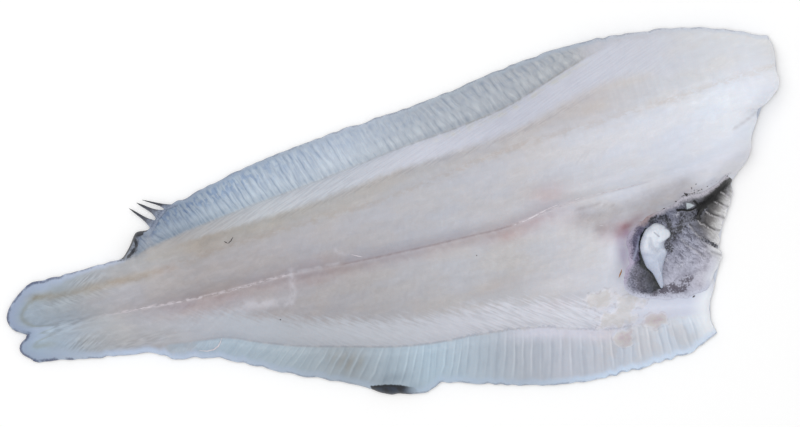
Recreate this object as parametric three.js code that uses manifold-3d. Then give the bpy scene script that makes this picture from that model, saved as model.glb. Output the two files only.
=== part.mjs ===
// A whole skin-on halibut fillet, lying skin side down with the cut flesh up.
// The tail points to -X and the cut head end to +X. The back fin edge is on +Y, the belly fin edge on -Y.
// All sizes are in millimetres.

import * as THREE from 'three';
import { mergeVertices } from 'three/addons/utils/BufferGeometryUtils.js';
import Module from 'manifold-3d';

// Driving dimensions: thicknesses and reliefs
const SKIN_THICKNESS = 1.5;
const GAP = 0.3;
const EDGE_HEIGHT = 2.4;
const LEAST_HEIGHT = 1.2;
const EDGE_INSET = 1.4;
const TAIL_INSET = 1.8;
const HEAD_INSET = 1.2;
const SEAM_SHARE = 0.84;
const SEAM_DEPTH = 1.8;
const SEAM_WIDTH = 4.5;
const SEAM_FULL_HEIGHT = 24;
const CREASE_DEPTH = 1.3;
const CREASE_WIDTH = 3.5;
const RIB_DEPTH = 0.9;
const NARROW_BAND = 6;
const WIDE_BAND = 15;
const HEAD_ROUND = 20;
const HEAD_SHARE = 0.42;
const TAIL_ROUND = 18;
const TAIL_SHARE = 0.45;

// Driving dimensions: the plan, as [x, y] places along each line
const BACK_EDGE = [
  [-283, 36], [-262, 38.5], [-225, 40], [-200, 41.5], [-191, 45], [-182, 55.5], [-172, 57.5],
  [-160, 67.5], [-140, 73.5], [-87, 86], [-37, 93], [37, 101], [112, 113.5], [162, 116.5],
  [212, 112.3], [245, 105.5], [283, 90],
];
const BELLY_EDGE = [
  [-283, -12], [-262, -16.7], [-237, -21], [-200, -26], [-186, -29], [-175, -36], [-160, -37.5],
  [-137, -45], [-100, -63], [-75, -73], [-50, -84], [-37, -91], [-15, -97.5], [2, -96.5],
  [12, -94.5], [25, -99], [62, -109], [100, -115], [150, -114.8], [180, -111], [200, -103],
];
const BACK_CREASE = [
  [-283, 32], [-230, 36.5], [-195, 38], [-171, 45], [-114, 54.7], [-58, 62], [18, 73.5], [56, 78],
  [94, 85], [134, 99], [173, 110], [212, 107.5], [245, 100], [283, 84],
];
const BELLY_CREASE = [
  [-283, -8.5], [-262, -13], [-203, -21], [-168, -25], [-116, -32], [-83, -45.5], [-31, -60],
  [5, -64.5], [41, -66], [77, -70.5], [128, -83.5], [165, -85], [200, -89],
];
const SEAM = [
  [-283, 10.5], [-217, 8.7], [-181, 5.5], [-86, 4], [-34, 6], [20, 3.5], [75, 4], [113, 9],
  [169, 11], [207, 16], [283, 24],
];

// Driving dimensions: the two ends, as [y, x] places up each end
const TAIL_END = [
  [-14, -271.5], [-7, -278.5], [-1, -277.5], [4, -271.5], [9, -279.5], [17, -283], [24, -280.5],
  [31, -274], [38, -264],
];
const HEAD_END = [
  [-104, 198.5], [-94, 197], [-73, 204], [-45, 215], [-19, 227], [0, 236], [14, 250], [30, 255.5],
  [41, 262], [48, 271], [58, 280.5], [77, 283], [90, 281],
];

// Driving dimensions: flesh heights above the skin, as [x, height] places along the fillet
const BACK_LOIN = [
  [-283, 4.5], [-250, 8], [-200, 12], [-120, 18], [-20, 24], [90, 29], [180, 31], [240, 28], [283, 23],
];
const BELLY_LOIN = [
  [-283, 4.5], [-250, 7.5], [-200, 10.5], [-120, 15], [-20, 20], [90, 23], [150, 21], [215, 15],
];
const BAND_ROOT = [
  [-283, 4], [-200, 7], [-120, 9], [0, 10.5], [150, 11], [283, 13],
];

// Driving dimensions: skin that shows past the flesh, [centre x, half length, width]
const BACK_FIN_STUB = [-183, 14, 7];
const BELLY_FLAP = [-20, 21, 6];

// Driving dimensions: the belly hollow, as the outline of its lining, which runs out past the head end
const HOLLOW_OUTLINE = [
  [250, 8], [235, 1], [217, -8], [203, -14], [177, -13.5], [160, -20], [150, -34], [143, -52],
  [149, -64], [180, -70], [204, -75], [235, -82],
];
const HOLLOW_FLOOR = 5;
const HOLLOW_OUTER_RIM = -12;
const HOLLOW_INNER_RIM = 6;

// Driving dimensions: the pleated lining, its pleats running down to the head end
const LINING_THICKNESS = 1.1;
const LINING_INSET = 2;
const PLEAT_PITCH = 8.3;
const PLEAT_HEIGHT = 1.4;
const PLEAT_TURN = 0.85;
const PLEAT_VALLEY = [209, -17];
const PLEAT_START = 183;
const PLEAT_FADE = 22;

// Driving dimensions: the lump of fat
const FAT_OUTLINE = [
  [166, -22], [160.5, -31], [160, -41], [164.5, -53], [167.5, -64.5], [171, -58], [173, -47],
  [177.5, -40], [182, -29], [175, -19],
];
const FAT_HEIGHT = 11;
const FAT_SUNK = 2.5;

// Driving dimensions: torn flaps of fin at the back fin stub, each from two roots to its tip
const FLAP_THICKNESS = 1;
const FLAP_TIP_SHARE = 0.4;
const FLAP_RISE = 3;
const FLAP_OVERLAP = 4;
const FLAP_WAIST = 0.3;
const FIN_FLAPS = [
  { tip: [-171.3, 78.4], roots: [[-159, 69.8], [-150, 71]] },
  { tip: [-176.1, 77.2], roots: [[-166, 63.6], [-157.6, 69.8]] },
  { tip: [-181.5, 74.1], roots: [[-171, 57.2], [-166.4, 63.4]] },
];

// Mesh steps
const FLESH_COLUMNS = 140;
const SKIN_COLUMNS = 96;
const BAND_STEPS = 3;
const BELLY_STEPS = 12;
const BACK_STEPS = 7;
const END_PASSES = 12;
const LINING_STEP_ALONG = 8;
const LINING_STEPS_PER_PLEAT = 4;
const FLAP_STEPS = 4;
const FAT_STEPS = 30;
const FAT_RINGS = 6;
const MERGE_DISTANCE = 1e-4;
const CUTTER_HEIGHT = 60;

const { lerp, clamp, smoothstep } = THREE.MathUtils;

// A smooth function through [position, value] places, level beyond both ends.
function through(places) {
  const last = places.length - 1;
  const slopes = places.map((place, i) => {
    const before = places[Math.max(i - 1, 0)];
    const after = places[Math.min(i + 1, last)];
    return (after[1] - before[1]) / (after[0] - before[0]);
  });
  return (position) => {
    const p = clamp(position, places[0][0], places[last][0]);
    let i = 0;
    while (i < last - 1 && p > places[i + 1][0]) i += 1;
    const [p0, v0] = places[i];
    const [p1, v1] = places[i + 1];
    const span = p1 - p0;
    const f = (p - p0) / span;
    const g = 1 - f;
    return v0 * (1 + 2 * f) * g * g + v1 * (1 + 2 * g) * f * f
      + span * f * g * (slopes[i] * g - slopes[i + 1] * f);
  };
}

const bump = (x, [centre, halfLength, size]) => size * Math.exp(-(((x - centre) / halfLength) ** 2));

const backEdge = through(BACK_EDGE);
const bellyEdge = through(BELLY_EDGE);
const backCrease = through(BACK_CREASE);
const bellyCrease = through(BELLY_CREASE);
const seam = through(SEAM);
const tailEnd = through(TAIL_END);
const headEnd = through(HEAD_END);
const backLoin = through(BACK_LOIN);
const bellyLoin = through(BELLY_LOIN);
const bandRoot = through(BAND_ROOT);

// A plan is the five lines that run along the fillet, from belly to back, and its two ends.
const skinPlan = {
  lines: [bellyEdge, bellyCrease, seam, backCrease, backEdge],
  tail: tailEnd,
  head: headEnd,
};
const fleshPlan = {
  lines: [
    (x) => bellyEdge(x) + EDGE_INSET + bump(x, BELLY_FLAP),
    bellyCrease,
    seam,
    backCrease,
    (x) => backEdge(x) - EDGE_INSET - bump(x, BACK_FIN_STUB),
  ],
  tail: (y) => tailEnd(y) + TAIL_INSET,
  head: (y) => headEnd(y) - HEAD_INSET,
};

// The y of a place that lies `across` of the way over a plan: 0 at the belly edge, 4 at the back edge.
function yAcross(plan, x, across) {
  const strip = Math.min(Math.floor(across), 3);
  return lerp(plan.lines[strip](x), plan.lines[strip + 1](x), across - strip);
}

// The strip that a point lies in, and how far over that strip it is.
function stripAt(plan, x, y) {
  let strip = 0;
  while (strip < 3 && y > plan.lines[strip + 1](x)) strip += 1;
  const low = plan.lines[strip](x);
  const high = plan.lines[strip + 1](x);
  return { strip, share: clamp((y - low) / (high - low), 0, 1), width: high - low };
}

// The x where a lengthwise line of a plan meets one of its ends.
function meetEnd(plan, end, across) {
  let x = end(yAcross(plan, 0, across));
  for (let pass = 0; pass < END_PASSES; pass += 1) x = end(yAcross(plan, x, across));
  return x;
}

// Steps across a fillet, closest together beside the creases and the seam.
function acrossSteps() {
  const counts = [BAND_STEPS, BELLY_STEPS, BACK_STEPS, BAND_STEPS];
  const inner = counts.flatMap((count, strip) =>
    Array.from({ length: count }, (_, i) => strip + (1 - Math.cos((Math.PI * i) / count)) / 2));
  return [...inner, counts.length];
}

// A grid of plan points: one row for each step across, running from tail to head.
function planGrid(plan, columns) {
  return acrossSteps().map((across) => {
    const start = meetEnd(plan, plan.tail, across);
    const finish = meetEnd(plan, plan.head, across);
    return Array.from({ length: columns + 1 }, (_, i) => {
      const x = lerp(start, finish, i / columns);
      return new THREE.Vector2(x, yAcross(plan, x, across));
    });
  });
}

// The outer loop of a grid, anticlockwise.
function rim(grid) {
  const last = grid.length - 1;
  const columns = grid[0].length - 1;
  return [
    ...grid[0].slice(0, columns),
    ...grid.slice(0, last).map((row) => row[columns]),
    ...grid[last].slice(1).reverse(),
    ...grid.slice(1).reverse().map((row) => row[0]),
  ];
}

// How far a point lies inside a closed outline, less than 0 outside it.
function depthInside(outline, x, y) {
  let nearest = Infinity;
  let inside = false;
  outline.forEach(([ax, ay], i) => {
    const [bx, by] = outline[(i + 1) % outline.length];
    const reach = (x - ax) * (bx - ax) + (y - ay) * (by - ay);
    const along = clamp(reach / ((bx - ax) ** 2 + (by - ay) ** 2), 0, 1);
    nearest = Math.min(nearest, Math.hypot(x - lerp(ax, bx, along), y - lerp(ay, by, along)));
    if (ay > y !== by > y && x < ax + ((bx - ax) * (y - ay)) / (by - ay)) inside = !inside;
  });
  return inside ? nearest : -nearest;
}

// A quarter-round rise from `share` at an end to 1 at `length` from it.
function roundEnd(distance, length, share) {
  const f = clamp(distance / length, 0, 1);
  return lerp(share, 1, Math.sqrt(1 - (1 - f) ** 2));
}

// The height of the flesh above its underside.
function fleshHeight(x, y) {
  const { strip, share, width } = stripAt(fleshPlan, x, y);
  const seamHeight = SEAM_SHARE * backLoin(x);
  const heights = [EDGE_HEIGHT, bandRoot(x), seamHeight, bandRoot(x), EDGE_HEIGHT];
  const flat = lerp(heights[strip], heights[strip + 1], share);
  const crowns = [
    (bandRoot(x) - EDGE_HEIGHT) / 4,
    bellyLoin(x) - (bandRoot(x) + seamHeight) / 2,
    backLoin(x) - (bandRoot(x) + seamHeight) / 2,
    (bandRoot(x) - EDGE_HEIGHT) / 4,
  ];
  let height = flat + crowns[strip] * 4 * share * (1 - share);
  const groove = (line, depth, reach) => depth * Math.exp(-(((y - line(x)) / reach) ** 2));
  const bandWidth = strip === 0 || strip === 3 ? width : WIDE_BAND;
  const open = smoothstep(bandWidth, NARROW_BAND, WIDE_BAND);
  height -= groove(seam, SEAM_DEPTH, SEAM_WIDTH) * clamp(seamHeight / SEAM_FULL_HEIGHT, 0, 1);
  height -= open * (groove(bellyCrease, CREASE_DEPTH, CREASE_WIDTH)
    + groove(backCrease, CREASE_DEPTH, CREASE_WIDTH));
  height *= roundEnd(fleshPlan.head(y) - x, HEAD_ROUND, HEAD_SHARE);
  height *= roundEnd(x - fleshPlan.tail(y), TAIL_ROUND, TAIL_SHARE);
  const hollow = smoothstep(depthInside(HOLLOW_OUTLINE, x, y), HOLLOW_OUTER_RIM, HOLLOW_INNER_RIM);
  return Math.max(lerp(height, HOLLOW_FLOOR, hollow), LEAST_HEIGHT);
}

// A rib on every second column of the fin-muscle bands.
function ribRelief(x, y, column) {
  const { strip, share, width } = stripAt(fleshPlan, x, y);
  if (strip === 1 || strip === 2) return 0;
  const fade = smoothstep(width, NARROW_BAND, WIDE_BAND) * Math.sin(Math.PI * share);
  return (column % 2 ? RIB_DEPTH / 2 : -RIB_DEPTH / 2) * fade;
}

// A closed solid with a flat underside and a top that follows a grid of points.
function heightSolid(grid, bottom) {
  const rows = grid.length;
  const columns = grid[0].length;
  const positions = grid.flat().flatMap((p) => [p.x, p.y, p.z]);
  const index = [];
  for (let row = 0; row < rows - 1; row += 1) {
    for (let column = 0; column < columns - 1; column += 1) {
      const a = row * columns + column;
      const b = a + columns;
      index.push(a, a + 1, b + 1, a, b + 1, b);
    }
  }
  const numbers = grid.map((row, r) => row.map((_, c) => r * columns + c));
  const loop = rim(numbers);
  const base = positions.length / 3;
  loop.forEach((i) => positions.push(positions[i * 3], positions[i * 3 + 1], bottom));
  loop.forEach((top, i) => {
    const next = (i + 1) % loop.length;
    index.push(top, base + i, base + next, top, base + next, loop[next]);
  });
  const flat = loop.map((i) => new THREE.Vector2(positions[i * 3], positions[i * 3 + 1]));
  const under = THREE.ShapeUtils.triangulateShape(flat, []);
  under.forEach(([a, b, c]) => index.push(base + a, base + c, base + b));
  const geometry = new THREE.BufferGeometry();
  geometry.setAttribute('position', new THREE.Float32BufferAttribute(positions, 3));
  geometry.setIndex(index);
  return geometry;
}

// A closed solid from rings that shrink from a flat rim to a point.
function domeSolid(rings) {
  const count = rings[0].length;
  const last = rings.length - 1;
  const positions = rings.slice(0, last).flat().flatMap((p) => [p.x, p.y, p.z]);
  const top = last * count;
  positions.push(rings[last][0].x, rings[last][0].y, rings[last][0].z);
  const index = [];
  for (let ring = 0; ring < last; ring += 1) {
    for (let i = 0; i < count; i += 1) {
      const a = ring * count + i;
      const b = ring * count + ((i + 1) % count);
      if (ring === last - 1) index.push(a, b, top);
      else index.push(a, b, b + count, a, b + count, a + count);
    }
  }
  const flat = rings[0].map((p) => new THREE.Vector2(p.x, p.y));
  THREE.ShapeUtils.triangulateShape(flat, []).forEach(([a, b, c]) => index.push(a, c, b));
  const geometry = new THREE.BufferGeometry();
  geometry.setAttribute('position', new THREE.Float32BufferAttribute(positions, 3));
  geometry.setIndex(index);
  return geometry;
}

const wasm = await Module();
wasm.setup();

// A closed geometry as a solid that can be joined and cut.
function toSolid(geometry) {
  const bare = geometry.clone();
  bare.deleteAttribute('normal');
  bare.deleteAttribute('uv');
  const merged = mergeVertices(bare, MERGE_DISTANCE);
  return new wasm.Manifold(new wasm.Mesh({
    numProp: 3,
    vertProperties: new Float32Array(merged.attributes.position.array),
    triVerts: new Uint32Array(merged.index.array),
  }));
}

// The largest single body of a solid, as a geometry.
function toGeometry(solid) {
  const bodies = solid.decompose().sort((a, b) => b.volume() - a.volume());
  const mesh = bodies[0].getMesh();
  const geometry = new THREE.BufferGeometry();
  geometry.setAttribute('position', new THREE.BufferAttribute(mesh.vertProperties, 3));
  geometry.setIndex(new THREE.BufferAttribute(mesh.triVerts, 1));
  geometry.computeVertexNormals();
  return geometry;
}

function mesh(name, geometry, color, roughness) {
  const piece = new THREE.Mesh(geometry, new THREE.MeshStandardMaterial({ color, roughness, metalness: 0 }));
  piece.name = name;
  return piece;
}

// Flesh: both loins, the seam between them, the fin-muscle bands with their ribs, and the belly hollow
const FLESH_FLOOR = SKIN_THICKNESS + GAP;

function fleshSolid() {
  const grid = planGrid(fleshPlan, FLESH_COLUMNS).map((row) => row.map((p, column) => {
    const height = fleshHeight(p.x, p.y) + ribRelief(p.x, p.y, column);
    return new THREE.Vector3(p.x, p.y, FLESH_FLOOR + height);
  }));
  return toSolid(heightSolid(grid, FLESH_FLOOR));
}

// Skin: a flat sheet that shows past the flesh at the fin stub and the belly flap, with the torn fin flaps
function finFlap({ tip, roots }) {
  const point = new THREE.Vector2(...tip);
  const [low, high] = roots.map((root) => {
    const end = new THREE.Vector2(...root);
    return end.add(end.clone().sub(point).setLength(FLAP_OVERLAP));
  });
  const middle = low.clone().lerp(high, 0.5);
  const waist = middle.clone().lerp(point, FLAP_WAIST);
  const outline = new THREE.Shape().moveTo(low.x, low.y);
  outline.lineTo(high.x, high.y);
  outline.quadraticCurveTo(waist.x, waist.y, point.x, point.y);
  outline.quadraticCurveTo(waist.x, waist.y, low.x, low.y);
  const flap = new THREE.ExtrudeGeometry(outline, {
    depth: FLAP_THICKNESS,
    bevelEnabled: false,
    curveSegments: FLAP_STEPS,
  });
  const points = flap.attributes.position;
  const length = middle.distanceTo(point);
  for (let i = 0; i < points.count; i += 1) {
    const fromTip = point.distanceTo(new THREE.Vector2(points.getX(i), points.getY(i)));
    const out = clamp(1 - fromTip / length, 0, 1);
    points.setZ(i, points.getZ(i) * lerp(1, FLAP_TIP_SHARE, out) + FLAP_RISE * out * out);
  }
  flap.translate(0, 0, (SKIN_THICKNESS - FLAP_THICKNESS) / 2);
  return toSolid(flap);
}

function skinSolid() {
  const outline = new THREE.Shape(rim(planGrid(skinPlan, SKIN_COLUMNS)));
  const sheet = toSolid(new THREE.ExtrudeGeometry(outline, { depth: SKIN_THICKNESS, bevelEnabled: false }));
  return FIN_FLAPS.reduce((skin, flap) => skin.add(finFlap(flap)), sheet);
}

// Belly lining: a thin pleated membrane on the floor of the hollow, cut off at the head end
// A tall block on an outline, to trim a sheet with.
function cutter(places) {
  const shape = new THREE.Shape(places.map(([x, y]) => new THREE.Vector2(x, y)));
  return toSolid(new THREE.ExtrudeGeometry(shape, { depth: CUTTER_HEIGHT, bevelEnabled: false }));
}

function pleatHeight(x, y) {
  const over = (x - PLEAT_VALLEY[0]) * Math.cos(PLEAT_TURN) + (y - PLEAT_VALLEY[1]) * Math.sin(PLEAT_TURN);
  const wave = (1 - Math.cos((2 * Math.PI * over) / PLEAT_PITCH)) / 2;
  return PLEAT_HEIGHT * wave * smoothstep(x, PLEAT_START, PLEAT_START + PLEAT_FADE);
}

function liningSolid(flesh) {
  const area = new THREE.Box2().setFromPoints(HOLLOW_OUTLINE.map((p) => new THREE.Vector2(...p)));
  const centre = area.getCenter(new THREE.Vector2());
  const reach = area.getSize(new THREE.Vector2()).length() / 2;
  const along = Math.ceil((2 * reach) / LINING_STEP_ALONG);
  const over = Math.ceil((2 * reach * LINING_STEPS_PER_PLEAT) / PLEAT_PITCH);
  const grid = Array.from({ length: over + 1 }, (_, row) =>
    Array.from({ length: along + 1 }, (__, column) => {
      const p = new THREE.Vector2(column / along - 0.5, row / over - 0.5).multiplyScalar(2 * reach);
      p.rotateAround(new THREE.Vector2(), PLEAT_TURN - Math.PI / 2).add(centre);
      const rise = GAP + LINING_THICKNESS + pleatHeight(p.x, p.y);
      return new THREE.Vector3(p.x, p.y, FLESH_FLOOR + fleshHeight(p.x, p.y) + rise);
    }));
  const headEdge = HEAD_END.map(([y]) => [fleshPlan.head(y) - LINING_INSET, y]);
  const beforeHead = cutter([[0, HEAD_END[0][0]], ...headEdge, [0, HEAD_END.at(-1)[0]]]);
  const block = toSolid(heightSolid(grid, FLESH_FLOOR));
  const trimmed = block.intersect(cutter(HOLLOW_OUTLINE)).intersect(beforeHead);
  return trimmed.subtract(flesh.translate([0, 0, GAP]));
}

// Fat: a white drop-shaped lump, pressed on to the lining
function fatSolid(flesh, lining) {
  const corners = FAT_OUTLINE.map(([x, y]) => new THREE.Vector3(x, y, 0));
  const loop = new THREE.CatmullRomCurve3(corners, true).getPoints(FAT_STEPS).slice(0, FAT_STEPS);
  const centre = loop.reduce((sum, p) => sum.add(p), new THREE.Vector3()).divideScalar(FAT_STEPS);
  const base = FLESH_FLOOR + HOLLOW_FLOOR + LINING_THICKNESS - FAT_SUNK;
  const grid = Array.from({ length: FAT_RINGS + 1 }, (_, ring) => {
    const turn = (Math.PI * ring) / (2 * FAT_RINGS);
    return loop.map((p) => {
      const q = p.clone().lerp(centre, 1 - Math.cos(turn));
      return q.setZ(base + (FAT_HEIGHT + FAT_SUNK) * Math.sin(turn));
    });
  });
  const lump = toSolid(domeSolid(grid));
  const intoLining = GAP + LINING_THICKNESS / 2;
  return lump.subtract(flesh.translate([0, 0, intoLining])).subtract(lining.translate([0, 0, GAP]));
}

const flesh = fleshSolid();
const lining = liningSolid(flesh);

const fillet = new THREE.Group();
fillet.add(
  mesh('skin', toGeometry(skinSolid()), 0x4a4c50, 0.5),
  mesh('flesh', toGeometry(flesh), 0xc9c9cf, 0.35),
  mesh('belly_lining', toGeometry(lining), 0x6f6d7a, 0.45),
  mesh('fat_lump', toGeometry(fatSolid(flesh, lining)), 0xe4e8f0, 0.4),
);

// The origin is under the middle of the fillet, on the surface it lies on.
const box = new THREE.Box3().setFromObject(fillet);
const centre = box.getCenter(new THREE.Vector3());
fillet.position.set(-centre.x, -centre.y, -box.min.z);

export default fillet;
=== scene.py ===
# %% [markdown]
# # A raw halibut fillet, lying skin side down
#
# A fillet is one long side of the fish: two loins with a seam between them, a thin ribbed band of fin muscle
# along each edge, the skin underneath and, at the head end, the hollow that held the belly. The imported model
# gives its sizes and never moves, so it is loaded first and the boxes of its parts are read where needed.

import math
from types import SimpleNamespace

import bpy
import numpy as np
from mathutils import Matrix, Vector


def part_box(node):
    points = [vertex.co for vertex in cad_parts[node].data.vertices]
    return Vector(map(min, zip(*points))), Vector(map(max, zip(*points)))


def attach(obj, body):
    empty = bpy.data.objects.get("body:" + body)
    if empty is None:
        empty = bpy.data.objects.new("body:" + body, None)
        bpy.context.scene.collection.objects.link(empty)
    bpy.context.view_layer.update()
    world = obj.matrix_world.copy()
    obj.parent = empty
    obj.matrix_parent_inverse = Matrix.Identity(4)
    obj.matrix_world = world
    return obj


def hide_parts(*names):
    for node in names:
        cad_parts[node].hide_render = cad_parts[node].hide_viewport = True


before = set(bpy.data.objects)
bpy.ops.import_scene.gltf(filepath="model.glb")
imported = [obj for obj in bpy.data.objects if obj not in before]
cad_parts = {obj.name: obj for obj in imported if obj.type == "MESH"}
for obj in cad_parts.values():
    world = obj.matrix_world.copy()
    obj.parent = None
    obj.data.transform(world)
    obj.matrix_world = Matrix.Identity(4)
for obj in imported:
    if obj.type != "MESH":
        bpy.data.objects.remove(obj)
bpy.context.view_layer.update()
print("nodes in the frame:", sorted(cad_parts))

# %% [markdown]
# ## Smooth curves
#
# Everything on a fish flows from head to tail, so each line of the fillet is a smooth curve through a few
# places. A spline object would do, but a small function on arrays can be asked for thousands of points at
# once, which is what a fine mesh needs. All sizes below are in millimetres, and they turn into metres only in
# a mesh.

# %% Curves through a few places, and soft steps
MM = 0.001


def through(places):
    """A smooth curve through (position, value) places, level before the first and after the last."""
    at, value = np.array(places, float).T
    slope = np.gradient(value, at, edge_order=1)
    slope[1:-1] = (value[2:] - value[:-2]) / (at[2:] - at[:-2])

    def curve(where):
        where = np.clip(where, at[0], at[-1])
        left = np.clip(np.searchsorted(at, where, side="right") - 1, 0, len(at) - 2)
        span = at[left + 1] - at[left]
        f = (where - at[left]) / span
        g = 1 - f
        ends = value[left] * (1 + 2 * f) * g * g + value[left + 1] * (1 + 2 * g) * f * f
        return ends + span * f * g * (slope[left] * g - slope[left + 1] * f)

    return curve


def uneven_curve(seed, reach, step, size):
    """A smooth curve that wanders about 0 by about the given size."""
    at = np.arange(-reach, reach + step, step)
    return through(np.stack([at, np.random.default_rng(seed).normal(0, size, len(at))], 1))


def ease(value, low, high):
    """0 up to low, 1 from high on, and a soft step between."""
    f = np.clip((value - low) / (high - low), 0, 1)
    return f * f * (3 - 2 * f)


def bell(value, width):
    """1 where the value is 0, falling softly to nothing over about two widths."""
    return np.exp(-((value / width) ** 2))


print("ease half way:", float(ease(0.5, 0, 1)))

# %% [markdown]
# ## The plan of the fillet
#
# Seen from above, five lines run the length of the fillet: the belly edge, the crease beside it, the seam in
# the middle, the other crease and the back edge. Any point of the fillet is then a place along X and a place
# "across" that counts those lines from 0 to 4, so a mesh whose rows follow the lines needs no cutting. A
# knife never cuts a clean curve, so the edges wander a little, and the cut bulges between the pleats of the
# hollow.

# %% The five lines and the two ends
BACK_EDGE = through([
    (-283, 36), (-262, 38.5), (-225, 40), (-201, 41.4), (-194.5, 42), (-189.4, 46.2), (-186.4, 49.8),
    (-182, 56.2), (-179, 57.4), (-174, 57), (-171, 58), (-160, 67.5), (-140, 73.5), (-87, 86), (-37, 93),
    (37, 101), (112, 113.5), (162, 116.5), (212, 112.3), (245, 105.5), (283, 90),
])
BELLY_EDGE = through([
    (-283, -12), (-262, -16.7), (-237, -21), (-200, -26), (-186, -29), (-175, -36), (-160, -37.5),
    (-137, -45), (-100, -63), (-75, -73), (-50, -84), (-37, -91.4), (-26, -94.8), (-16, -97.2), (-8, -97.5),
    (-2, -95.8), (4, -93), (10, -94.5), (25, -98.8), (62, -109), (100, -115), (150, -114.8), (180, -111),
    (200, -103),
])
BACK_CREASE = through([
    (-283, 32), (-230, 36.5), (-195, 38), (-171, 45), (-114, 54.7), (-58, 62), (18, 73.5), (56, 78), (94, 85),
    (134, 99), (173, 110), (212, 107.5), (245, 100), (283, 84),
])
BELLY_CREASE = through([
    (-283, -8.5), (-262, -13), (-203, -21), (-168, -25), (-135, -29), (-114, -37), (-87, -46), (-53, -54.2),
    (-25, -60.8), (5, -65), (41, -66.4), (77, -70.5), (128, -83.5), (165, -85), (200, -89),
])
SEAM = through([
    (-283, 9), (-248, 6), (-217, 5.4), (-186, 4), (-138, 2.3), (-86, 4), (-47, 2.8), (8, 1.9), (41, 2),
    (75, 2.6), (105, 7.4), (140, 9.6), (169, 11), (207, 16), (283, 24),
])
TAIL_END = through([
    (-14, -271.5), (-7, -278.5), (-1, -277.5), (4, -271.5), (9, -279.5), (17, -283), (24, -280.5), (31, -274),
    (38, -264),
])
HEAD_END = through([
    (-104, 199.5), (-98, 198), (-92, 196.8), (-84, 198.4), (-76, 202.2), (-68, 205.8), (-62.5, 206.8),
    (-57.8, 210.6), (-51, 214.6), (-45, 213.8), (-36, 216.4), (-26, 222.2), (-16, 228.8), (-8, 231.6),
    (-4, 232.6), (0, 235.4), (9, 245.6), (16, 251.5), (24, 253), (36, 260), (43, 262.4), (45.6, 268.6),
    (49, 273), (53.5, 279), (59, 281.6), (67, 281), (80, 283), (90, 281),
])
BACK_UNEVEN = uneven_curve(31, 300, 4, 0.36)
BELLY_UNEVEN = uneven_curve(32, 300, 4, 0.45)
BELLY_TORN = through([(-300, 1), (70, 1), (120, 1.4), (200, 1.4)])
HEAD_UNEVEN = uneven_curve(33, 130, 5, 0.3)
PLEAT_ENDS = [-54, -45, -36, -28, -21, -14, -5]
SCALLOP = 1.1
FLESH_INSET = 0.3
FIRST_GUESS = 250.0
END_ROUNDS = 12
OUTLINE_ROWS = 81
OUTLINE_COLUMNS = 401


def plan_lines(x, of_flesh):
    """The five lines' Y at X. The flesh ends just inside the skin."""
    inset = FLESH_INSET if of_flesh else 0
    belly = BELLY_EDGE(x) + BELLY_UNEVEN(x) * BELLY_TORN(x) + inset
    back = BACK_EDGE(x) + BACK_UNEVEN(x) - inset
    return np.stack([belly, BELLY_CREASE(x), SEAM(x), BACK_CREASE(x), back])


def tail_end(y, of_flesh):
    return TAIL_END(y) + (FLESH_INSET if of_flesh else 0)


def head_end(y, of_flesh):
    """X of the cut, which bulges between the places where the pleats end."""
    pleat = np.interp(y, PLEAT_ENDS, np.arange(len(PLEAT_ENDS)))
    bulge = SCALLOP * np.abs(np.sin(np.pi * pleat))
    return HEAD_END(y) + HEAD_UNEVEN(y) + bulge - (FLESH_INSET if of_flesh else 0)


def picked(values, strip):
    """From a stack of values, one for each line, those that each place's strip asks for."""
    return np.take_along_axis(values, strip, 0)[0]


def y_across(x, across, of_flesh):
    """Y at X of the place that lies so many lines across."""
    lines = plan_lines(x, of_flesh)
    strip = np.clip(across.astype(int), 0, 3)[None]
    low = picked(lines, strip)
    return low + (picked(lines, strip + 1) - low) * (across - strip[0])


def plan_grid(rows, columns, of_flesh):
    """X and Y for a grid of rows that follow the lines from the tail to the head end."""
    start = np.full_like(rows, -FIRST_GUESS)
    finish = np.full_like(rows, FIRST_GUESS)
    for _ in range(END_ROUNDS):
        start = tail_end(y_across(start, rows, of_flesh), of_flesh)
        finish = head_end(y_across(finish, rows, of_flesh), of_flesh)
    x = start[:, None] + (finish - start)[:, None] * columns[None, :]
    across = np.repeat(rows[:, None], len(columns), 1)
    return x, y_across(x, across, of_flesh)


skin_box = [np.array(corner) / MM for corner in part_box("skin")]
outline_rows = np.linspace(0, 4, OUTLINE_ROWS)
outline_x, outline_y = plan_grid(outline_rows, np.linspace(0, 1, OUTLINE_COLUMNS), False)
SHIFT = np.array([
    (skin_box[0][0] + skin_box[1][0] - outline_x.min() - outline_x.max()) / 2,
    (skin_box[0][1] + skin_box[1][1] - outline_y.min() - outline_y.max()) / 2,
    0.0,
])
print("plan to frame, mm:", SHIFT.round(2))

# %% [markdown]
# ## Distances on the plan
#
# Relief and colour both depend on how far a place is from an edge, a line or the rim of the hollow. Distances
# are worked out once, on arrays, and kept on the meshes, which is quicker and steadier than measuring them in
# a shader for every pixel.

# %% Distances from paths, outlines and edges
def distance_to(path, x, y, closed=False):
    """Distance in plan from each point to a path of straight runs."""
    path = np.array(path, float)
    ends = np.roll(path, -1, 0) if closed else path[1:]
    nearest = np.full(np.shape(x), np.inf)
    for (ax, ay), (bx, by) in zip(path, ends):
        run = (bx - ax) ** 2 + (by - ay) ** 2
        along = np.clip(((x - ax) * (bx - ax) + (y - ay) * (by - ay)) / run, 0, 1)
        nearest = np.minimum(nearest, np.hypot(x - ax - along * (bx - ax), y - ay - along * (by - ay)))
    return nearest


def depth_inside(outline, x, y):
    """Distance to an outline, positive inside and negative outside."""
    inside = np.zeros(np.shape(x), bool)
    for (ax, ay), (bx, by) in zip(outline, np.roll(outline, -1, 0)):
        if ay != by:
            inside ^= ((ay > y) != (by > y)) & (x < (bx - ax) * (y - ay) / (by - ay) + ax)
    away = distance_to(outline, x, y, closed=True)
    return np.where(inside, away, -away)


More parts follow.
